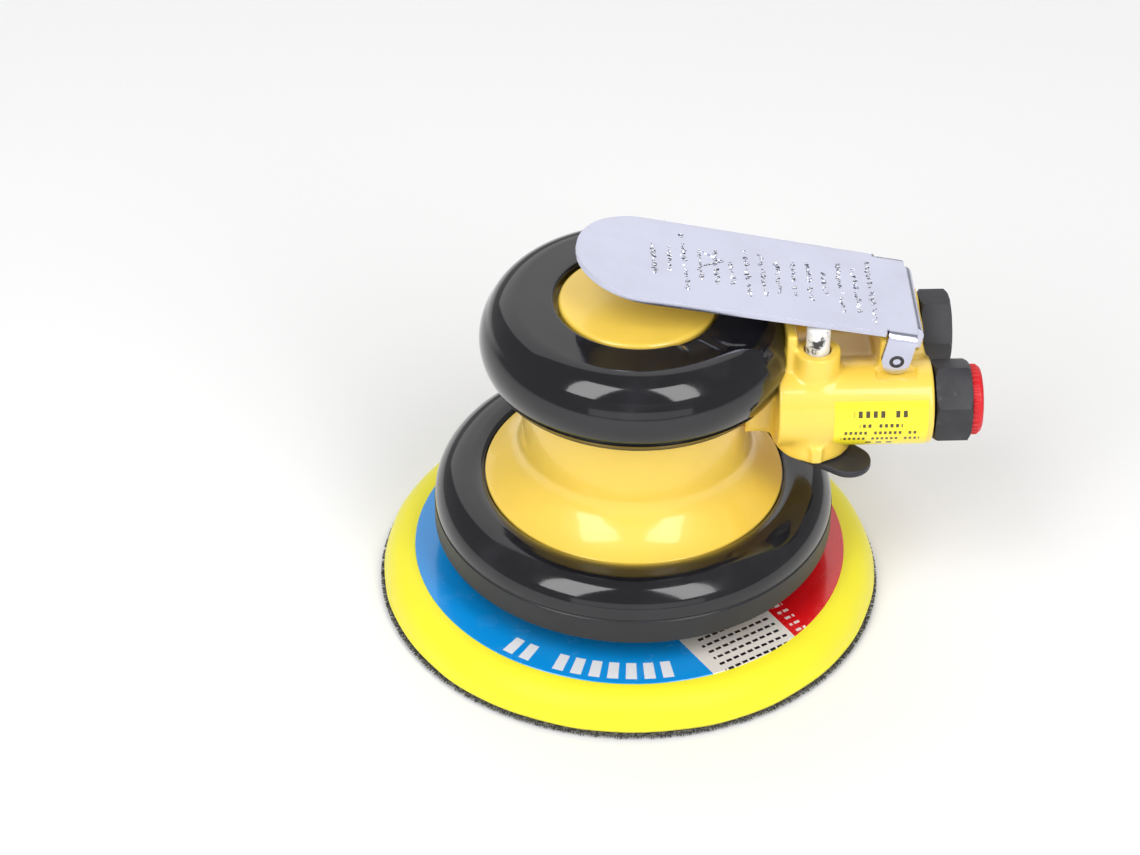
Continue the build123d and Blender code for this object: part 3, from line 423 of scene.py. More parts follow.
# ------------------------------------------------------------------ mesh helpers
def new_object(name, mesh):
    thing = bpy.data.objects.new(name, mesh)
    bpy.context.scene.collection.objects.link(thing)
    return thing


def from_work(name, work, outwards=True):
    """Object from a working mesh, with its faces turned outwards."""
    if outwards:
        bmesh.ops.recalc_face_normals(work, faces=work.faces)
    mesh = bpy.data.meshes.new(name)
    work.to_mesh(mesh)
    work.free()
    return new_object(name, mesh)


def settle(thing):
    """Applies every modifier and leaves one plain mesh in a new object."""
    bpy.context.view_layer.update()
    graph = bpy.context.evaluated_depsgraph_get()
    mesh = bpy.data.meshes.new_from_object(thing.evaluated_get(graph))
    name = thing.name
    bpy.data.objects.remove(thing)
    mesh.name = name
    return new_object(name, mesh)


def shade(thing, angle=SMOOTH_ANGLE):
    thing.data.shade_smooth()
    thing.data.set_sharp_from_angle(angle=angle)


def face_out(mesh):
    """Merges doubles, then turns every face outwards."""
    work = bmesh.new()
    work.from_mesh(mesh)
    bmesh.ops.remove_doubles(work, verts=work.verts, dist=1e-7)
    bmesh.ops.recalc_face_normals(work, faces=work.faces)
    work.to_mesh(mesh)
    work.free()


def outline(start, *steps, arc_points=12):
    """Points of a (radius, height) outline; a step is a point or (point on arc, end of arc)."""
    points = [start]
    for step in steps:
        if isinstance(step[0], tuple):
            points += arc(points[-1], step[0], step[1], arc_points)
        else:
            points.append(step)
    return points


def arc(start, middle, end, count):
    """Points after start on the circle through three points."""
    (ax, ay), (bx, by), (cx, cy) = start, middle, end
    d = 2 * (ax * (by - cy) + bx * (cy - ay) + cx * (ay - by))
    squares = [x * x + y * y for x, y in (start, middle, end)]
    ux = (squares[0] * (by - cy) + squares[1] * (cy - ay) + squares[2] * (ay - by)) / d
    uy = (squares[0] * (cx - bx) + squares[1] * (ax - cx) + squares[2] * (bx - ax)) / d
    radius = math.hypot(ax - ux, ay - uy)
    first, mid, last = (math.atan2(y - uy, x - ux) for x, y in (start, middle, end))
    turn = (last - first) % math.tau
    if (mid - first) % math.tau > turn:
        turn -= math.tau
    angles = [first + turn * i / count for i in range(1, count + 1)]
    return [(ux + radius * math.cos(a), uy + radius * math.sin(a)) for a in angles]


def lathe(name, profile, centre=(0.0, 0.0), segments=192, closed=True):
    """Mesh turned about a vertical axis from a closed outline in millimetres."""
    work = bmesh.new()
    rings = []
    for radius, height in profile:
        if radius < 1e-6:
            rings.append([work.verts.new((centre[0] * MM, centre[1] * MM, height * MM))])
            continue
        ring = []
        for index in range(segments):
            angle = math.tau * index / segments
            spot = (centre[0] + radius * math.cos(angle), centre[1] + radius * math.sin(angle), height)
            ring.append(work.verts.new(Vector(spot) * MM))
        rings.append(ring)
    pairs = list(zip(rings, rings[1:]))
    if closed:
        pairs.append((rings[-1], rings[0]))
    for lower, upper in pairs:
        bridge(work, lower, upper)
    return from_work(name, work)


def bridge(work, lower, upper):
    """Faces between two rings; a ring of one vertex is a pole."""
    count = max(len(lower), len(upper))
    if count == 1:
        return
    for i in range(count):
        j = (i + 1) % count
        corners = [ring[k % len(ring)] for ring, k in ((lower, i), (lower, j), (upper, j), (upper, i))]
        corners = list(dict.fromkeys(corners))
        if len(corners) > 2:
            work.faces.new(corners)


def bevelled(thing, width, segments=3, angle=SMOOTH_ANGLE):
    bevel = thing.modifiers.new("edges", "BEVEL")
    bevel.width = width * MM
    bevel.segments = segments
    bevel.limit_method = "ANGLE"
    bevel.angle_limit = angle
    return settle(thing)


def cut(thing, cutter, operation="DIFFERENCE"):
    """Boolean with a second object, which is then removed."""
    change = thing.modifiers.new("cut", "BOOLEAN")
    change.operation = operation
    change.solver = "EXACT"
    change.object = cutter
    result = settle(thing)
    bpy.data.objects.remove(cutter)
    return result


def block(name, low, high):
    """Box between two corners, in millimetres."""
    work = bmesh.new()
    size = Vector(high) - Vector(low)
    middle = (Vector(high) + Vector(low)) / 2
    place = Matrix.Translation(middle * MM) @ Matrix.Diagonal((*(size * MM), 1.0))
    bmesh.ops.create_cube(work, size=1.0, matrix=place)
    return from_work(name, work, outwards=False)


def prism(name, radius, low, high, sides=6, turn=0.0):
    """Straight prism about Z, in millimetres."""
    points = [(radius * math.cos(math.radians(turn) + math.tau * i / sides),
               radius * math.sin(math.radians(turn) + math.tau * i / sides)) for i in range(sides)]
    return extruded(name, points, low, high)


def extruded(name, points, low, high):
    """Outline in the XY plane pushed from low to high."""
    work = bmesh.new()
    bottom = [work.verts.new((x * MM, y * MM, low * MM)) for x, y in points]
    top = [work.verts.new((x * MM, y * MM, high * MM)) for x, y in points]
    bridge(work, bottom, top)
    work.faces.new(bottom[::-1])
    work.faces.new(top)
    return from_work(name, work)


def moved(thing, matrix):
    """Puts the place into the mesh."""
    thing.data.transform(matrix)
    return thing


def along_x(x, y, z):
    """From a shape about local Z to one about X, with its start at (x, y, z) millimetres."""
    return Matrix.Translation(Vector((x, y, z)) * MM) @ Matrix.Rotation(math.radians(90), 4, "Y")


def mark_wear(thing):
    """Stores how sharply the surface turns at each vertex as the attribute wear."""
    work = bmesh.new()
    work.from_mesh(thing.data)
    values = []
    for vert in work.verts:
        angles = [e.calc_face_angle(0.0) for e in vert.link_edges if len(e.link_faces) == 2]
        values.append(min(1.0, max(angles, default=0.0) * 2.2))
    work.free()
    store = thing.data.attributes.new("wear", "FLOAT", "POINT")
    store.data.foreach_set("value", values)


def finish_piece(thing, body, material, slot, *nodes):
    """Gives a made piece its finish and its body, and hides the CAD nodes it stands for."""
    thing.data.materials.clear()
    thing.data.materials.append(material)
    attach(thing, body)
    if nodes:
        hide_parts(*nodes)
    return thing


def dress(nodes, material):
    """Finish for CAD nodes that are shown as they are."""
    for name in nodes:
        for slot in frame["nodes"][name].material_slots:
            slot.material = material


# ------------------------------------------------------------------ geometry nodes
class Tree(Graph):
    """A geometry node tree with named inputs, run on one object and then applied."""

    def __init__(self, name, **inputs):
        super().__init__(bpy.data.node_groups.new(name, "GeometryNodeTree"))
        make = self.tree.interface.new_socket
        for way in ("OUTPUT", "INPUT"):
            make("Geometry", in_out=way, socket_type="NodeSocketGeometry")
        self.values = {}
        for key, value in inputs.items():
            kind = "NodeSocketInt" if isinstance(value, int) else "NodeSocketFloat"
            self.values[key] = (make(key, in_out="INPUT", socket_type=kind), value)
        self.entry = self.tree.nodes.new("NodeGroupInput")

    def source(self, name="Geometry"):
        return Wire(self, self.entry.outputs[name])

    def together(self, *wires):
        node = self.tree.nodes.new("GeometryNodeJoinGeometry")
        for wire in wires:
            self.tree.links.new(wire.socket, node.inputs[0])
        return Wire(self, node.outputs[0])

    def scatter(self, low, high, **sockets):
        """A random vector for each point."""
        sockets = {0: low, 1: high, **sockets}
        return self.add("FunctionNodeRandomValue", {"data_type": "FLOAT_VECTOR"}, sockets)

    def run(self, thing, shape, material):
        """Ends the tree in Realize Instances and Set Material, applies it and returns the mesh."""
        real = self.add("GeometryNodeRealizeInstances", None, {"Geometry": shape})
        done = self.add("GeometryNodeSetMaterial", None, {"Geometry": real, "Material": material})
        exit_node = self.tree.nodes.new("NodeGroupOutput")
        self.tree.links.new(done.socket, exit_node.inputs["Geometry"])
        change = thing.modifiers.new("rule", "NODES")
        change.node_group = self.tree
        for item, value in self.values.values():
            change[item.identifier] = value
        return settle(thing)


def empty_mesh(name):
    return new_object(name, bpy.data.meshes.new(name))


# ------------------------------------------------------------------ casting
def turned_casting():
    """Flange, waist, head and cap, with the motor bore inside."""
    profile = outline(
        (31.0, 27.2), (35.4, 27.2), (35.6, 27.4), (35.6, 28.4), (34.0, 28.4), (34.0, 30.4),
        (35.6, 30.4),
        (35.6, 32.6), (36.7, 32.6), ((37.15, 32.8), (37.2, 33.25)), ((37.15, 33.5), (36.9, 33.65)),
        (31.9, 38.05), ((28.95, 41.4), (28.0, 45.6)), (28.0, 66.6), ((29.2, 69.2), (32.0, 70.4)),
        ((33.1, 71.2), (33.5, 72.5)), (33.5, 76.0), ((32.2, 79.4), (28.6, 81.5)), (20.4, 82.0),
        (19.3, 82.1), (19.2, 84.7), ((18.95, 85.35), (18.2, 85.75)), ((9.2, 86.28), (0.0, 86.4)),
        (0.0, 82.4), (8.0, 82.4), (8.0, 79.5), (24.0, 79.5), (24.0, 38.3), (25.0, 38.3),
        (25.0, 34.2), (31.0, 34.2),
    )
    body = lathe("housing_body", profile, segments=224)
    shade(body, math.radians(40))
    return body


def arm_shape(tree):
    """Signed distance of the arm, in millimetres, as one field."""
    place = tree.add("GeometryNodeInputPosition")
    x, y, z = (part / MM for part in tree.parts(place))
    side = abs(y)

    def slab(value, low, high):
        return abs(value - (low + high) / 2) - (high - low) / 2

    def disc(first, second, centre, radius):
        a, b = first - centre[0], second - centre[1]
        return (a * a + b * b).root() - radius

    def both(*fields, soft=0.8):
        result = fields[0]
        for item in fields[1:]:
            result = result.math("SMOOTH_MAX", item, soft)
        return result

    def join(*fields, soft):
        result = fields[0]
        for item in fields[1:]:
            result = result.math("SMOOTH_MIN", item, soft)
        return result

    def without(body, *holes):
        for hole in holes:
            body = body.math("SMOOTH_MAX", hole * -1, 0.5)
        return body

    barrels = both(disc(side, z, (BARREL_Y, BARREL_Z), BARREL_R), slab(x, 33, 70.5), soft=1.2)
    web = both(slab(x, 24, 70.5), side - 15.0, slab(z, 56.0, 71.0), soft=2.0)
    neck = both(slab(x, 14, 36), side - 13.4, slab(z, 56.0, 78.9), soft=1.5)
    waist = disc(x, y, (0, 0), 27.85).high(slab(z, 50, 70))
    collar = both(slab(x, 35.0, 37.6), side - 15.6, slab(z, 60, 84.7), soft=1.4)
    valve = both(disc(x, y, (VALVE_X, -BARREL_Y), 9.3), slab(z, 52.7, 64.4), soft=1.6)
    boss = both(disc(x, y, (VALVE_X, -BARREL_Y), STEM_BOSS_R), slab(z, 64.4, 80.7), soft=1.0)
    hinge = both(slab(x, 57.6, 64.9), side - 15.05, slab(z, 66, 83.0), soft=2.2)
    lug = both(slab(x, 41.2, 43.8), slab(y, -24.9, -21), slab(z, 53.4, 57.5), soft=0.8)
    shape = join(web, barrels, soft=3.5)
    shape = join(shape, neck, waist, soft=4.0)
    shape = join(shape, valve, collar, hinge, soft=2.4)
    shape = join(shape, boss, lug, soft=2.0)
    pocket = both(slab(side, 15.15, 19.5), slab(x, 56.6, 66.4), slab(z, 73.9, 82), soft=0.8)
    shape = without(
        shape,
        both(disc(x, y, (VALVE_X, -BARREL_Y), 3.3), slab(z, 60.5, 90), soft=0.2),
        disc(x, z, (HINGE.x, HINGE.z), 1.9),
        pocket,
        both(disc(side, z, (BARREL_Y, BARREL_Z), 8.1), slab(x, 57.5, 80), soft=0.2),
    )
    return shape.high(26 - x)


def cast_arm(material):
    """The arm: rounded barrels and bosses that flow into each other, as cast metal does."""
    sizes = bpy.context.scene.sander_sizes
    tree = Tree("cast_arm", Level=1.0)
    density = tree.source("Level") - arm_shape(tree)
    low, high = Vector((24, -27, 50)) * MM, Vector((72, 27, 87)) * MM
    cells = [int((high - low)[i] / sizes.casting_grain) for i in range(3)]
    sockets = {"Density": density, "Background": 0.0, "Min": low, "Max": high}
    sockets.update({"Resolution X": cells[0], "Resolution Y": cells[1], "Resolution Z": cells[2]})
    cloud = tree.add("GeometryNodeVolumeCube", None, sockets)
    skin = tree.add("GeometryNodeVolumeToMesh", {"resolution_mode": "GRID"},
                    {"Volume": cloud, "Threshold": tree.source("Level")})
    arm = tree.run(empty_mesh("housing_arm_cast"), skin, material)
    face_out(arm.data)
    shade(arm, math.radians(50))
    return arm


# ------------------------------------------------------------------ rubber
def grip():
    """Grip ring with the lever's channel and the room for the arm."""
    profile = outline(
        (28.1, 66.4), (34.0, 66.4), ((35.2, 66.7), (36.0, 67.4)), ((38.45, 74.7), (36.6, 80.6)),
        ((33.4, 84.4), (28.2, 85.75)), (25.0, 86.0), (21.2, 86.0), ((20.45, 85.7), (20.2, 85.1)),
        (20.2, 82.1),
        (28.5, 81.7), ((32.3, 79.5), (33.6, 76.0)), (33.6, 72.5), (32.0, 70.3), (28.1, 66.9),
        arc_points=16,
    )
    ring = lathe("grip_ring_rubber", profile, segments=256)
    floor, half = 85.05 * MM, 19.4 * MM
    for vert in ring.data.vertices:
        if vert.co.x > 0 and abs(vert.co.y) < half and vert.co.z > floor:
            edge = min((half - abs(vert.co.y)) / (0.7 * MM), vert.co.x / (0.7 * MM), 1.0)
            vert.co.z -= (vert.co.z - floor) * edge
    ring = cut(ring, block("arm_room", (34.7, -16.3, 55), (60, 16.3, 95)))
    ring = cut(ring, block("neck_room", (14, -14.2, 50), (60, 14.2, 79.3)))
    shade(ring, math.radians(38))
    return ring


def bell():
    """Shroud: a bell of rubber that snaps into the groove under the flange."""
    profile = outline(
        (46.8, 18.8), (49.3, 18.8), ((49.8, 19.0), (50.0, 19.5)), (50.0, 25.4),
        ((49.75, 25.6), (49.85, 26.2)),
        ((47.6, 31.9), (41.5, 34.4)), ((39.3, 34.2), (37.6, 33.3)), (37.45, 32.6), (35.65, 32.6),
        (35.65, 30.3),
        (34.05, 30.3), (34.05, 28.45), (39.0, 28.45), (41.5, 31.2), ((45.2, 29.7), (46.8, 26.0)),
        arc_points=16,
    )
    shell = lathe("shroud_rubber", profile, segments=256)
    shade(shell, math.radians(38))
    return shell


# ------------------------------------------------------------------ pad
def foam_ring():
    """Soft foam body: a crowned rim that is slightly uneven, as moulded foam is."""
    profile = outline(
        (0.0, 1.5), (60.0, 1.5), (61.9, 1.5), ((62.45, 2.0), (62.3, 3.4)), ((60.6, 7.4), (55.8, 10.35)),
        (54.8, 10.5), (52.0, 10.5), (52.0, 8.0), (13.0, 8.0), (13.0, 6.5), (0.0, 6.5),
        arc_points=16,
    )
    ring = lathe("pad_foam_soft", profile, PAD_CENTRE.xy, segments=256)
    for vert in ring.data.vertices:
        east, north = vert.co.x - PAD_CENTRE.x * MM, vert.co.y - PAD_CENTRE.y * MM
        radius = math.hypot(east, north)
        if radius > 0.054 and vert.co.z < 0.0102:
            angle = math.atan2(north, east)
            wave = math.sin(5 * angle + 0.7) + 0.6 * math.sin(11 * angle + 2.1)
            wave += 0.4 * math.sin(23 * angle)
            share = 1 + 0.00012 * wave / radius
            vert.co.x = PAD_CENTRE.x * MM + east * share
            vert.co.y = PAD_CENTRE.y * MM + north * share
    shade(ring, math.radians(50))
    return ring


def hook_layer(material):
    """Cloth disc with hundreds of tiny bent hooks on its face and rim."""
    sizes = bpy.context.scene.sander_sizes
    profile = outline((0.0, 0.9), (62.35, 0.9), (62.5, 1.0), (62.5, 1.48), (0.0, 1.48))
    disc = lathe("pad_hook_layer", profile, PAD_CENTRE.xy, segments=200)
    tree = Tree("hooks", Density=sizes.hook_density, Seed=7, Length=0.9 * MM, Rim=30.0)
    cloth = tree.source()
    normal = tree.add("GeometryNodeInputNormal")
    upward = tree.parts(normal)[2]
    density = tree.source("Density") * (1 + (abs(upward) < 0.6) * tree.source("Rim"))
    face = {"Mesh": cloth, "Selection": upward < 0.7, "Density": density, "Seed": tree.source("Seed")}
    points = tree.add("GeometryNodeDistributePointsOnFaces", None, face)
    turn = Wire(tree, points.socket.node.outputs["Rotation"])
    bend = tree.scatter((-0.5, -0.5, 0.0), (0.5, 0.5, 6.28))
    turn = tree.add("FunctionNodeRotateRotation", {"rotation_space": "LOCAL"},
                    {"Rotation": turn, "Rotate By": bend})
    stalk = tree.add("GeometryNodeMeshCone", None, {
        "Vertices": 4, "Radius Top": 0.07 * MM, "Radius Bottom": 0.13 * MM,
        "Depth": tree.source("Length")})
    stalk_in = {"Points": points, "Instance": stalk, "Rotation": turn}
    hooks = tree.add("GeometryNodeInstanceOnPoints", None, stalk_in)
    return tree.run(disc, tree.together(cloth, hooks), material)


def label_film():
    low, high = 10.5, 10.75
    profile = outline((15.1, low), (54.3, low), (54.45, low + 0.1), (54.3, high), (15.1, high))
    film = lathe("pad_label_film", profile, PAD_CENTRE.xy, segments=256)
    shade(film)
    return film


# ------------------------------------------------------------------ lever
LEVER_SHEET = 1.5
LEVER_MID = 6.06 + LEVER_SHEET / 2
EAR_MID = 15.55 + LEVER_SHEET / 2
TAB_MID = 5.7 - LEVER_SHEET / 2
FOLD = 1.6


def lever_frame():
    """From the lever's own level frame, with the hinge pin at its origin, to the sander's."""
    return Matrix.Translation(HINGE * MM) @ Matrix.Rotation(math.radians(11.42), 4, "Y")


def lever_half_width(x):
    """Half width of the flat plate at a station, measured from the hinge pin."""
    tip, radius = -62.4, 17.0
    if x < tip:
        return math.sqrt(max(0.0, radius**2 - (x - tip) ** 2))
    return radius + (16.1 - radius) * min(1.0, (x - tip) / (-5.0 - tip))


def fold_path(edge, end):
    """Distances along a strip that turns down through a quarter circle: (out, height)."""
    steps = [(edge + FOLD * math.sin(a), LEVER_MID - FOLD * (1 - math.cos(a)))
             for a in (math.pi / 2 * i / 6 for i in range(1, 7))]
    low = LEVER_MID - FOLD
    steps += [(edge + FOLD, low + (end - low) * i / 5) for i in range(1, 6)]
    return steps


def lever_plate():
    """Pressed sheet: one surface with two folded ears and an end tab, then given thickness."""
    work = bmesh.new()
    ear = 3.65
    tab_start = TAB_MID - FOLD
    tips = [-79.4 + 17.0 * (1 - math.cos(math.pi / 2 * i / 16)) for i in range(17)]
    body = [-62.4 + (62.4 - 5.0) * i / 18 for i in range(1, 19)]
    stations = tips + body + [-4.2, -ear] + [-ear + 2 * ear * i / 8 for i in range(1, 8)] + [tab_start]
    across = 16
    inner = EAR_MID - FOLD
    rows = []
    for x in stations:
        wide = inner if x >= -ear - 1e-6 else lever_half_width(x)
        if wide < 1e-6:
            rows.append([work.verts.new((x, 0, LEVER_MID))])
            continue
        shares = [2 * i / across - 1 for i in range(across + 1)]
        rows.append([work.verts.new((x, wide * share, LEVER_MID)) for share in shares])
    for lower, upper in zip(rows, rows[1:]):
        for i in range(across):
            last = len(lower) - 1
            quad = [lower[min(i, last)], lower[min(i + 1, last)], upper[i + 1], upper[i]]
            work.faces.new(list(dict.fromkeys(quad)))
    add_ears(work, [r for r, x in zip(rows, stations) if x >= -ear - 1e-6],
             [x for x in stations if x >= -ear - 1e-6], ear)
    add_tab(work, rows[-1])
    bmesh.ops.scale(work, vec=(MM, MM, MM), verts=work.verts)
    plate = from_work("lever_plate", work)
    solid = plate.modifiers.new("sheet", "SOLIDIFY")
    solid.thickness = LEVER_SHEET * MM
    solid.offset = 0.0
    solid.use_even_offset = True
    plate = bevelled(plate, 0.56, 4, math.radians(45))
    moved(plate, lever_frame())
    face_out(plate.data)
    shade(plate, math.radians(35))
    return plate


def add_ears(work, rows, stations, ear):
    """Strips that fold down from both edges to a rounded end about the pin."""
    for side, pick in ((-1, 0), (1, -1)):
        strips = []
        for row, x in zip(rows, stations):
            reach = math.sqrt(max(0.3, ear**2 - min(abs(x), ear) ** 2))
            path = fold_path(EAR_MID - FOLD, -reach)
            strip = [row[pick]] + [work.verts.new((x, side * out, high)) for out, high in path]
            strips.append(strip)
        for lower, upper in zip(strips, strips[1:]):
            for i in range(len(lower) - 1):
                work.faces.new([lower[i], lower[i + 1], upper[i + 1], upper[i]])


def add_tab(work, last_row):
    """End tab with cut corners, folded down behind the hinge."""
    chosen = [v for v in last_row if abs(v.co.y) <= 13.2]
    previous = chosen
    path = fold_path(TAB_MID - FOLD, 0.1)
    for index, (out, high) in enumerate(path):
        narrow = 1.0 - 0.14 * max(0, index - 8) / 2
        fresh = [work.verts.new((out, v.co.y * narrow, high)) for v in chosen]
        for i in range(len(chosen) - 1):
            work.faces.new([previous[i], previous[i + 1], fresh[i + 1], fresh[i]])
        previous = fresh


def lever_stamps(material):
    """Rows of tiny raised dashes across the plate, uneven like stamped lines."""
    tree = Tree("stamps", Rows=15, Columns=30, Seed=11, Dash=0.95 * MM)
    grid = tree.add("GeometryNodeMeshGrid", None, {
        "Size X": 54 * MM, "Size Y": 28 * MM,
        "Vertices X": tree.source("Rows"), "Vertices Y": tree.source("Columns")})
    place = tree.parts(tree.add("GeometryNodeInputPosition"))
    row_noise = tree.noise(tree.add("ShaderNodeCombineXYZ", None, {0: place[0] * 137}), 5.0)
    reach = 0.004 + row_noise.ramp(0.3, 0.7) * 0.0095
    skew = tree.noise(tree.add("ShaderNodeCombineXYZ", None, {0: place[0] * 91, 1: 0.4}), 5.0) - 0.5
    off_row = abs(place[1] - skew * 0.008) > reach
    seed = {"Seed": tree.source("Seed"), "Probability": 0.1}
    gap = tree.add("FunctionNodeRandomValue", {"data_type": "BOOLEAN"}, seed, 3)
    drop = off_row.high(gap)
    kept = tree.add("GeometryNodeDeleteGeometry", {"domain": "POINT"},
                    {"Geometry": grid, "Selection": drop})
    jitter = tree.scatter((-0.35 * MM, -0.08 * MM, 0), (0.35 * MM, 0.08 * MM, 0), Seed=5)
    shaken = tree.add("GeometryNodeSetPosition", None, {"Geometry": kept, "Offset": jitter})
    size = tree.add("ShaderNodeCombineXYZ", None, {0: tree.source("Dash"), 1: 0.42 * MM, 2: 0.22 * MM})
    dash = tree.add("GeometryNodeMeshCube", None, {"Size": size})
    turn = tree.scatter((0.0, 0.0, -0.9), (0.0, 0.0, 0.9), Seed=9)
    scale = tree.add("FunctionNodeRandomValue", {"data_type": "FLOAT"}, {2: 0.55, 3: 1.35, "Seed": 3}, 1)
    stamped = tree.add("GeometryNodeInstanceOnPoints", None,
                       {"Points": shaken, "Instance": dash, "Rotation": turn, "Scale": scale})
    marks = tree.run(empty_mesh("lever_stamps"), stamped, material)
    top = LEVER_MID + LEVER_SHEET / 2
    outer, inner, sunk, proud = 4.1, 3.6, -0.1, 0.14
    profile = outline((outer, sunk), (outer, proud), (inner, proud), (inner, sunk))
    marks = joined(marks, lathe("sign", profile, (-13.6, 3.2), segments=3))
    moved(marks, lever_frame() @ Matrix.Translation(Vector((-33.5, 0.0, top)) * MM))
    return marks


# ------------------------------------------------------------------ inlet, exhaust, throttle
def hex_nut(name, flats, length, turn, chamfer, tube):
    """Hexagon about local Z with turned chamfers; tube is bore radius, mouth depth, mouth radius."""
    corner = flats / 2 / math.cos(math.radians(30))
    nut = prism(name, corner, 0.0, length, 6, turn)
    wide = corner + 0.2
    cone = outline((0.0, 0.0), (corner - 1.0, 0.0), (wide, chamfer), (wide, length - chamfer),
                   (corner - 1.15, length), (0.0, length))
    nut = cut(nut, lathe("cone", cone, segments=96), "INTERSECT")
    bore, deep, mouth = tube
    step = length - deep
    hole = outline((0.0, -1.0), (bore, -1.0), (bore, step), (mouth, step),
                   (mouth, length + 1), (0.0, length + 1))
    nut = cut(nut, lathe("bore", hole, segments=96))
    nut = bevelled(nut, 0.28, 2, math.radians(25))
    mark_wear(nut)
    shade(nut, math.radians(28))
    return nut


def joined(first, *others):
    """Several meshes as one, keeping the first's name."""
    work = bmesh.new()
    for thing in (first, *others):
        work.from_mesh(thing.data)
    work.to_mesh(first.data)
    work.free()
    for thing in others:
        bpy.data.objects.remove(thing)
    shade(first, math.radians(28))
    return first


def inlet_nut():
    nut = hex_nut("inlet_bushing_hex", 18.0, 8.8, 6, 0.9, (5.7, 2.5, 6.3))
    profile = outline((7.9, -13.7), (7.9, -2.2), (7.1, -2.0), (7.1, 0.0), (5.7, 0.0), (5.7, -13.7))
    tube = lathe("tube", profile, segments=96)
    return moved(joined(nut, tube), along_x(71.1, -BARREL_Y, BARREL_Z))


def red_plug(material):
    """Domed plug; the ribs round its rim are one rib repeated in a ring."""
    profile = outline((0.0, 0.0), (8.2, 0.0), (8.3, 0.15), (8.3, 1.7), ((8.0, 2.4), (7.2, 2.7)),
                      ((6.9, 2.72), (6.7, 2.55)), (6.4, 2.35), ((3.4, 2.9), (0.0, 3.05)))
    dome = lathe("dust_plug_cap", profile, segments=144)
    tree = Tree("rim_ribs", Count=36, Radius=8.28 * MM, Height=1.7 * MM)
    ring = tree.add("GeometryNodeMeshCircle", None,
                    {"Vertices": tree.source("Count"), "Radius": tree.source("Radius")})
    rib = tree.add("GeometryNodeMeshCylinder", None,
                   {"Vertices": 10, "Radius": 0.32 * MM, "Depth": tree.source("Height")})
    ribs = tree.add("GeometryNodeInstanceOnPoints", None, {"Points": ring, "Instance": rib})
    lifted = tree.add("GeometryNodeTransform", None, {"Geometry": ribs, "Translation": (0, 0, 0.9 * MM)})
    plug = tree.run(dome, tree.together(tree.source(), lifted), material)
    shade(plug, math.radians(40))
    return moved(plug, along_x(80.0, -BARREL_Y, BARREL_Z))


def exhaust_nut():
    nut = hex_nut("muffler_hex", 17.3, 7.5, 16, 0.8, (6.2, 7.8, 6.2))
    profile = outline((0.0, 5.0), (6.25, 5.0), (6.25, 6.2), (0.0, 6.2))
    mesh_plate = lathe("vent_plate", profile, segments=72)
    for ring, count in ((0.0, 1), (3.9, 6)):
        for index in range(count):
            angle = math.tau * index / count
            hole = prism("hole", 1.3, 4.0, 7.5, 24)
            spot = Vector((ring * math.cos(angle), ring * math.sin(angle), 0))
            moved(hole, Matrix.Translation(spot * MM))
            mesh_plate = cut(mesh_plate, hole)
    tube = lathe("tube", outline((7.9, -18.0), (7.9, 0.0), (6.2, 0.0), (6.2, -18.0)), segments=96)
    return moved(joined(nut, mesh_plate, tube), along_x(71.0, BARREL_Y, BARREL_Z))


def push_stem():
    profile = outline((0.0, 65.9), (1.0, 65.9), (1.0, 69.4), (2.9, 70.8), (2.9, 86.4),
                      ((2.55, 87.15), (1.9, 87.4)), ((1.0, 87.55), (0.0, 87.6)))
    rod = lathe("push_stem", profile, (VALVE_X, -BARREL_Y), segments=64)
    shade(rod)
    return rod


def hinge_pin():
    """Pin with a rounded edge and a hexagon socket in each end."""
    profile = outline((0.0, -17.3), (1.55, -17.3), (1.8, -17.05), (1.8, 17.05), (1.55, 17.3), (0.0, 17.3))
    rod = lathe("lever_pin_socketed", profile, segments=64)
    for low, high in ((15.2, 18.0), (-18.0, -15.2)):
        rod = cut(rod, prism("socket", 1.12, low, high, 6, 15))
    moved(rod, Matrix.Translation(HINGE * MM) @ Matrix.Rotation(math.radians(90), 4, "X"))
    shade(rod)
    return rod


def speed_lever():
    """Paddle under the arm with a soft moulded edge."""
    reach, hub, end = 10.8, 6.4, 5.5
    lean = math.acos((hub - end) / reach)
    points = arc_run(0.0, 0.0, hub, lean, math.tau - lean, 40)
    points += arc_run(reach, 0.0, end, -lean, lean, 32)
    plate = extruded("speed_lever", points, 50.4, 52.3)
    plate = bevelled(plate, 0.45, 3, math.radians(40))
    place = Matrix.Translation(Vector((VALVE_X, -BARREL_Y, 0)) * MM)
    moved(plate, place @ Matrix.Rotation(math.radians(-40.5), 4, "Z"))
    shade(plate)
    return plate


def arc_run(x, y, radius, start, end, count):
    angles = [start + (end - start) * i / count for i in range(count + 1)]
    return [(x + radius * math.cos(a), y + radius * math.sin(a)) for a in angles]


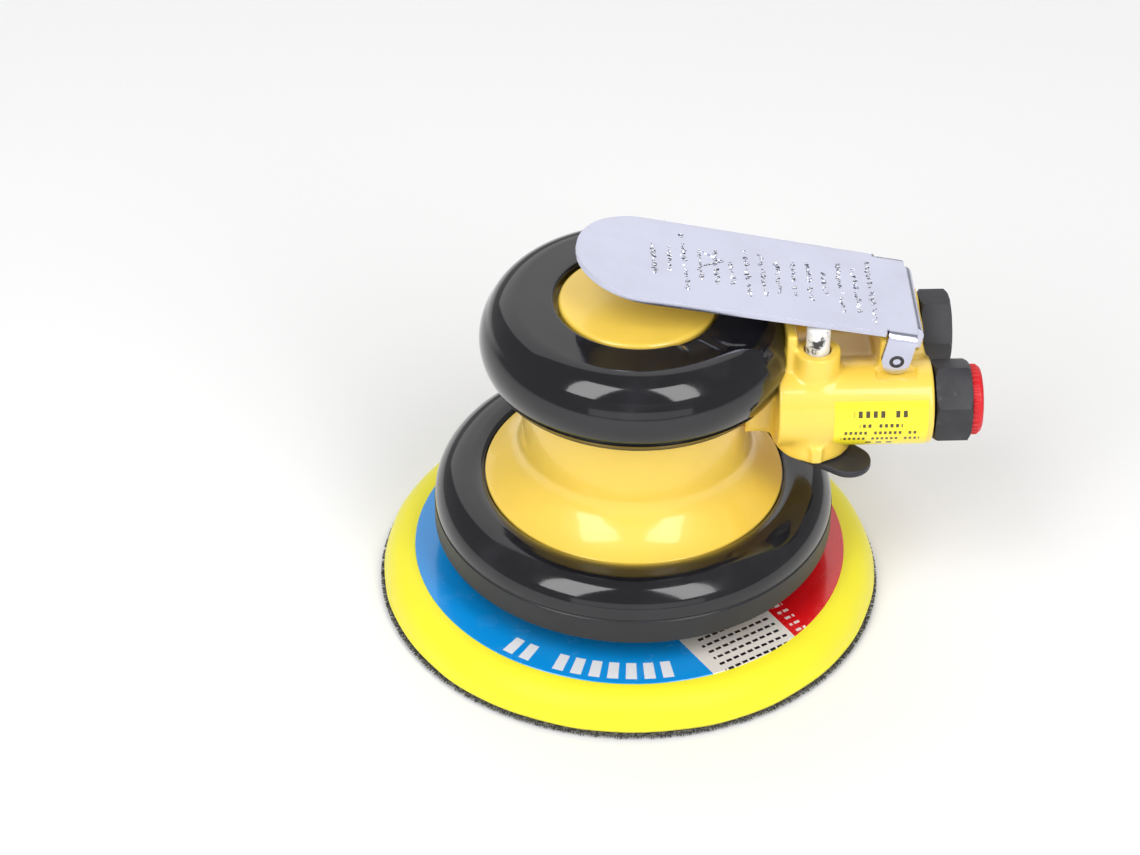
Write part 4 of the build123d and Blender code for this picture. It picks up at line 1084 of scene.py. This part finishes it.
def barrel_film():
    """Sticker bent round the inlet barrel, with its own UV map."""
    work = bmesh.new()
    layer = work.loops.layers.uv.new("film")
    low, high, top, bottom = 46.3, 68.9, 37.0, -56.0
    nx, na = 4, 30
    shells = []
    for radius in (BARREL_R + 0.02, BARREL_R + 0.16):
        rows = []
        for j in range(na + 1):
            angle = math.radians(top + (bottom - top) * j / na)
            out, up = -BARREL_Y - radius * math.cos(angle), BARREL_Z + radius * math.sin(angle)
            row = [(low + (high - low) * i / nx, out, up) for i in range(nx + 1)]
            rows.append([work.verts.new(Vector(spot) * MM) for spot in row])
        shells.append(rows)
    for index, rows in enumerate(shells):
        for j in range(na):
            for i in range(nx):
                spots = [(i, j), (i + 1, j), (i + 1, j + 1), (i, j + 1)]
                spots = spots[::-1] if index == 0 else spots
                face = work.faces.new([rows[b][a] for a, b in spots])
                for loop, (a, b) in zip(face.loops, spots):
                    loop[layer].uv = (a / nx, b / na)
    inner, outer = shells
    rim = [(0, i) for i in range(nx)] + [(j, nx) for j in range(na)]
    rim += [(na, nx - i) for i in range(nx)] + [(na - j, 0) for j in range(na)]
    for (j0, i0), (j1, i1) in zip(rim, rim[1:] + rim[:1]):
        work.faces.new([inner[j0][i0], inner[j1][i1], outer[j1][i1], outer[j0][i0]])
    film = from_work("barrel_sticker", work)
    shade(film)
    return film


# ------------------------------------------------------------------ stage
def add_camera():
    sizes = bpy.context.scene.sander_sizes
    turn, rise, roll = sizes.view_turn, sizes.view_rise, sizes.view_roll
    right = Vector((math.cos(turn), math.sin(turn), 0))
    back = Vector((math.sin(turn) * math.cos(rise), -math.cos(turn) * math.cos(rise), math.sin(rise)))
    up = back.cross(right)
    level = (math.cos(roll) * right + math.sin(roll) * up,
             math.cos(roll) * up - math.sin(roll) * right, back)
    data = bpy.data.cameras.new("view")
    data.lens = sizes.view_lens
    data.sensor_width = 36.0
    data.clip_start = 0.01
    camera = bpy.data.objects.new("view", data)
    bpy.context.scene.collection.objects.link(camera)
    camera.matrix_world = Matrix.Translation(EYE * MM) @ Matrix(level).transposed().to_4x4()
    bpy.context.scene.camera = camera


def soft_box(name, place, aim, wide, tall, power):
    data = bpy.data.lights.new(name, "AREA")
    data.shape = "RECTANGLE"
    data.size, data.size_y = wide, tall
    data.energy = power
    light = bpy.data.objects.new(name, data)
    bpy.context.scene.collection.objects.link(light)
    facing = (Vector(aim) - Vector(place)).to_track_quat("-Z", "Y").to_matrix().to_4x4()
    light.matrix_world = Matrix.Translation(Vector(place)) @ facing


def add_lights():
    aim = (0.01, 0.0, 0.05)
    soft_box("key_left", (-0.54, -0.58, 0.84), aim, 0.42, 0.95, 7.0)
    soft_box("key_right", (0.44, -0.68, 0.84), aim, 0.38, 0.95, 6.4)
    soft_box("back", (0.0, 1.05, 0.95), aim, 1.9, 1.3, 6.2)
    soft_box("front", (0.0, -1.6, 0.30), aim, 2.2, 0.5, 2.6)
    world = bpy.data.worlds.new("studio")
    world.use_nodes = True
    sky = world.node_tree.nodes["Background"]
    sky.inputs["Color"].default_value = (1.0, 1.0, 1.0, 1.0)
    sky.inputs["Strength"].default_value = 0.34
    bpy.context.scene.world = world
    bpy.context.scene.view_settings.view_transform = "Standard"


def add_floor():
    work = bmesh.new()
    bmesh.ops.create_grid(work, x_segments=1, y_segments=1, size=FLOOR_HALF)
    floor = from_work("floor", work, outwards=False)
    floor.data.materials.append(finish_named("floor", floor_finish))


# ------------------------------------------------------------------ settings
def angle_property(name, description, degrees):
    return bpy.props.FloatProperty(name=name, description=description, default=math.radians(degrees),
                                   subtype="ANGLE", unit="ROTATION")


class SanderSizes(bpy.types.PropertyGroup):
    """Sizes that a user may change."""

    view_turn: angle_property("View Turn", "Camera angle round the sander", -2.6)
    view_rise: angle_property("View Rise", "Camera angle above the floor", 38.058)
    view_roll: angle_property("View Roll", "Camera roll about its line of sight", 0.528)
    view_lens: bpy.props.FloatProperty(
        name="Lens", description="Focal length", default=110.5, unit="CAMERA")
    casting_grain: bpy.props.FloatProperty(
        name="Casting Grain", description="Cell size of the cast arm's surface",
        default=0.4 * MM, precision=5, unit="LENGTH")
    hook_density: bpy.props.FloatProperty(
        name="Hook Density", description="Hooks per square metre of pad face", default=420000.0, min=0.0)


def colour_property(name, description, value):
    return bpy.props.FloatVectorProperty(name=name, description=description, default=value, size=4,
                                         min=0.0, max=1.0, subtype="COLOR")


class SanderColours(bpy.types.PropertyGroup):
    """Colours that a user may change."""

    enamel: colour_property("Enamel", "Paint of the casting", linear(250, 212, 84))
    rubber: colour_property("Rubber", "Shroud and grip ring", linear(22, 22, 26))
    foam: colour_property("Foam", "Pad foam", linear(250, 240, 40))
    nickel: colour_property("Nickel", "Plated lever", linear(208, 210, 228))
    label_blue: colour_property("Label Blue", "First band of the pad's print", linear(10, 150, 232))
    label_white: colour_property("Label White", "Middle band of the pad's print", linear(232, 226, 218))
    label_red: colour_property("Label Red", "Last band of the pad's print", linear(222, 18, 26))
    sticker: colour_property("Sticker", "Film on the inlet barrel", linear(255, 236, 40))


# ------------------------------------------------------------------ operators
class SANDER_OT_stage(bpy.types.Operator):
    """Adds the camera, the soft lights and a pale floor"""

    bl_idname = "sander.stage"
    bl_label = "Stage"

    def execute(self, context):
        add_camera()
        add_lights()
        add_floor()
        return {"FINISHED"}


class SANDER_OT_casting(bpy.types.Operator):
    """Makes the enamelled casting: turned body and blended arm"""

    bl_idname = "sander.casting"
    bl_label = "Casting"

    def execute(self, context):
        paint = finish_named("enamel", enamel)
        finish_piece(turned_casting(), "tool_body", paint, "yellow_paint", "housing")
        finish_piece(cast_arm(paint), "tool_body", paint, "yellow_paint", "housing_arm")
        return {"FINISHED"}


class SANDER_OT_rubber(bpy.types.Operator):
    """Makes the grip ring and the bell shroud"""

    bl_idname = "sander.rubber"
    bl_label = "Rubber Parts"

    def execute(self, context):
        grip_finish = gloss_rubber("grip_rubber", 68.6 * MM)
        finish_piece(grip(), "tool_body", grip_finish, "gloss_rubber", "grip_ring")
        bell_finish = gloss_rubber("shroud_rubber", 25.6 * MM)
        finish_piece(bell(), "tool_body", bell_finish, "gloss_rubber", "shroud")
        return {"FINISHED"}


class SANDER_OT_pad(bpy.types.Operator):
    """Makes the foam, the hook layer and the printed film"""

    bl_idname = "sander.pad"
    bl_label = "Pad"

    def execute(self, context):
        skin = finish_named("foam", foam_skin)
        foam = finish_piece(foam_ring(), "pad", skin, "yellow_foam", "pad_foam")
        cloth = finish_named("hooks", hook_cloth)
        finish_piece(hook_layer(cloth), "pad", cloth, "hook_cloth", "pad_hook")
        finish_piece(label_film(), "pad", finish_named("print", pad_print), "printed_film", "pad_label")
        return {"FINISHED"}


class SANDER_OT_lever(bpy.types.Operator):
    """Makes the plated lever, its stamped dashes and its pin"""

    bl_idname = "sander.lever"
    bl_label = "Lever"

    def execute(self, context):
        plating = finish_named("nickel", bright_nickel)
        finish_piece(lever_plate(), "throttle_lever", plating, "bright_nickel", "lever")
        struck = finish_named("struck", stamped_nickel)
        finish_piece(lever_stamps(struck), "throttle_lever", struck, "bright_nickel")
        dark = finish_named("oxide", black_oxide)
        finish_piece(hinge_pin(), "throttle_lever", dark, "black_oxide", "lever_pin")
        return {"FINISHED"}


class SANDER_OT_fittings(bpy.types.Operator):
    """Makes the inlet nut, plug, muffler, stem, speed lever and sticker"""

    bl_idname = "sander.fittings"
    bl_label = "Fittings"

    def execute(self, context):
        dark = finish_named("oxide", black_oxide)
        finish_piece(inlet_nut(), "tool_body", dark, "black_oxide", "inlet_bushing")
        red = finish_named("red", lambda: plain_plastic("red_plastic", linear(214, 26, 36), 0.3))
        finish_piece(red_plug(red), "plug", red, "red_plastic", "dust_plug")
        black = finish_named("black", lambda: plain_plastic("black_plastic", linear(46, 46, 52), 0.42))
        finish_piece(exhaust_nut(), "tool_body", black, "black_plastic", "muffler_body")
        finish_piece(speed_lever(), "regulator", black, "black_plastic", "regulator_lever")
        nylon = finish_named("nylon", white_nylon)
        finish_piece(push_stem(), "stem", nylon, "white_plastic", "valve_stem")
        film = finish_named("sticker", sticker_print)
        finish_piece(barrel_film(), "tool_body", film, "yellow_film", "inlet_sticker")
        return {"FINISHED"}


class SANDER_OT_inside(bpy.types.Operator):
    """Gives every carried-over inner part its finish"""

    bl_idname = "sander.inside"
    bl_label = "Inner Parts"

    def execute(self, context):
        made = {
            "machined_steel": turned_metal("machined_steel", linear(178, 178, 182), 0.28),
            "bearing_steel": turned_metal("bearing_steel", linear(200, 200, 205), 0.16),
            "cast_metal": turned_metal("cast_metal", linear(176, 178, 180), 0.4),
            "aluminium": turned_metal("aluminium", linear(192, 194, 198), 0.32),
            "brass": turned_metal("brass", linear(206, 172, 96), 0.28),
            "black_oxide": finish_named("oxide", black_oxide),
            "seal_rubber": plain_plastic("seal_rubber", linear(34, 34, 36), 0.5),
            "blade_composite": plain_plastic("blade_composite", linear(110, 76, 48), 0.5),
            "backing_composite": plain_plastic("backing_composite", linear(48, 48, 50), 0.5),
            "felt": fibre("felt", linear(150, 150, 146), 900),
        }
        slots = {row["node"]: row["material_slot"] for row in frame["record"]["subparts"]}
        for node, thing in frame["nodes"].items():
            if not thing.hide_render:
                dress([node], made[slots[node]])
        return {"FINISHED"}


STEPS = (SANDER_OT_stage, SANDER_OT_casting, SANDER_OT_rubber, SANDER_OT_pad,
         SANDER_OT_lever, SANDER_OT_fittings, SANDER_OT_inside)


class SANDER_PT_panel(bpy.types.Panel):
    """Lists the sizes, the colours and the steps"""

    bl_idname = "SANDER_PT_panel"
    bl_label = "Sander"
    bl_space_type = "VIEW_3D"
    bl_region_type = "UI"
    bl_category = "Sander"

    def draw(self, context):
        for group in (context.scene.sander_sizes, context.scene.sander_colours):
            box = self.layout.box()
            for name in group.__annotations__:
                box.prop(group, name)
        for step in STEPS:
            self.layout.operator(step.bl_idname)


CLASSES = (SanderSizes, SanderColours, *STEPS, SANDER_PT_panel)


def register():
    for item in CLASSES:
        bpy.utils.register_class(item)
    bpy.types.Scene.sander_sizes = bpy.props.PointerProperty(type=SanderSizes)
    bpy.types.Scene.sander_colours = bpy.props.PointerProperty(type=SanderColours)


def unregister():
    del bpy.types.Scene.sander_colours
    del bpy.types.Scene.sander_sizes
    for item in reversed(CLASSES):
        bpy.utils.unregister_class(item)


def main():
    register()
    bpy.ops.sander.stage()
    bpy.ops.sander.casting()
    bpy.ops.sander.rubber()
    bpy.ops.sander.pad()
    bpy.ops.sander.lever()
    bpy.ops.sander.fittings()
    bpy.ops.sander.inside()


if __name__ == "__main__":
    main()
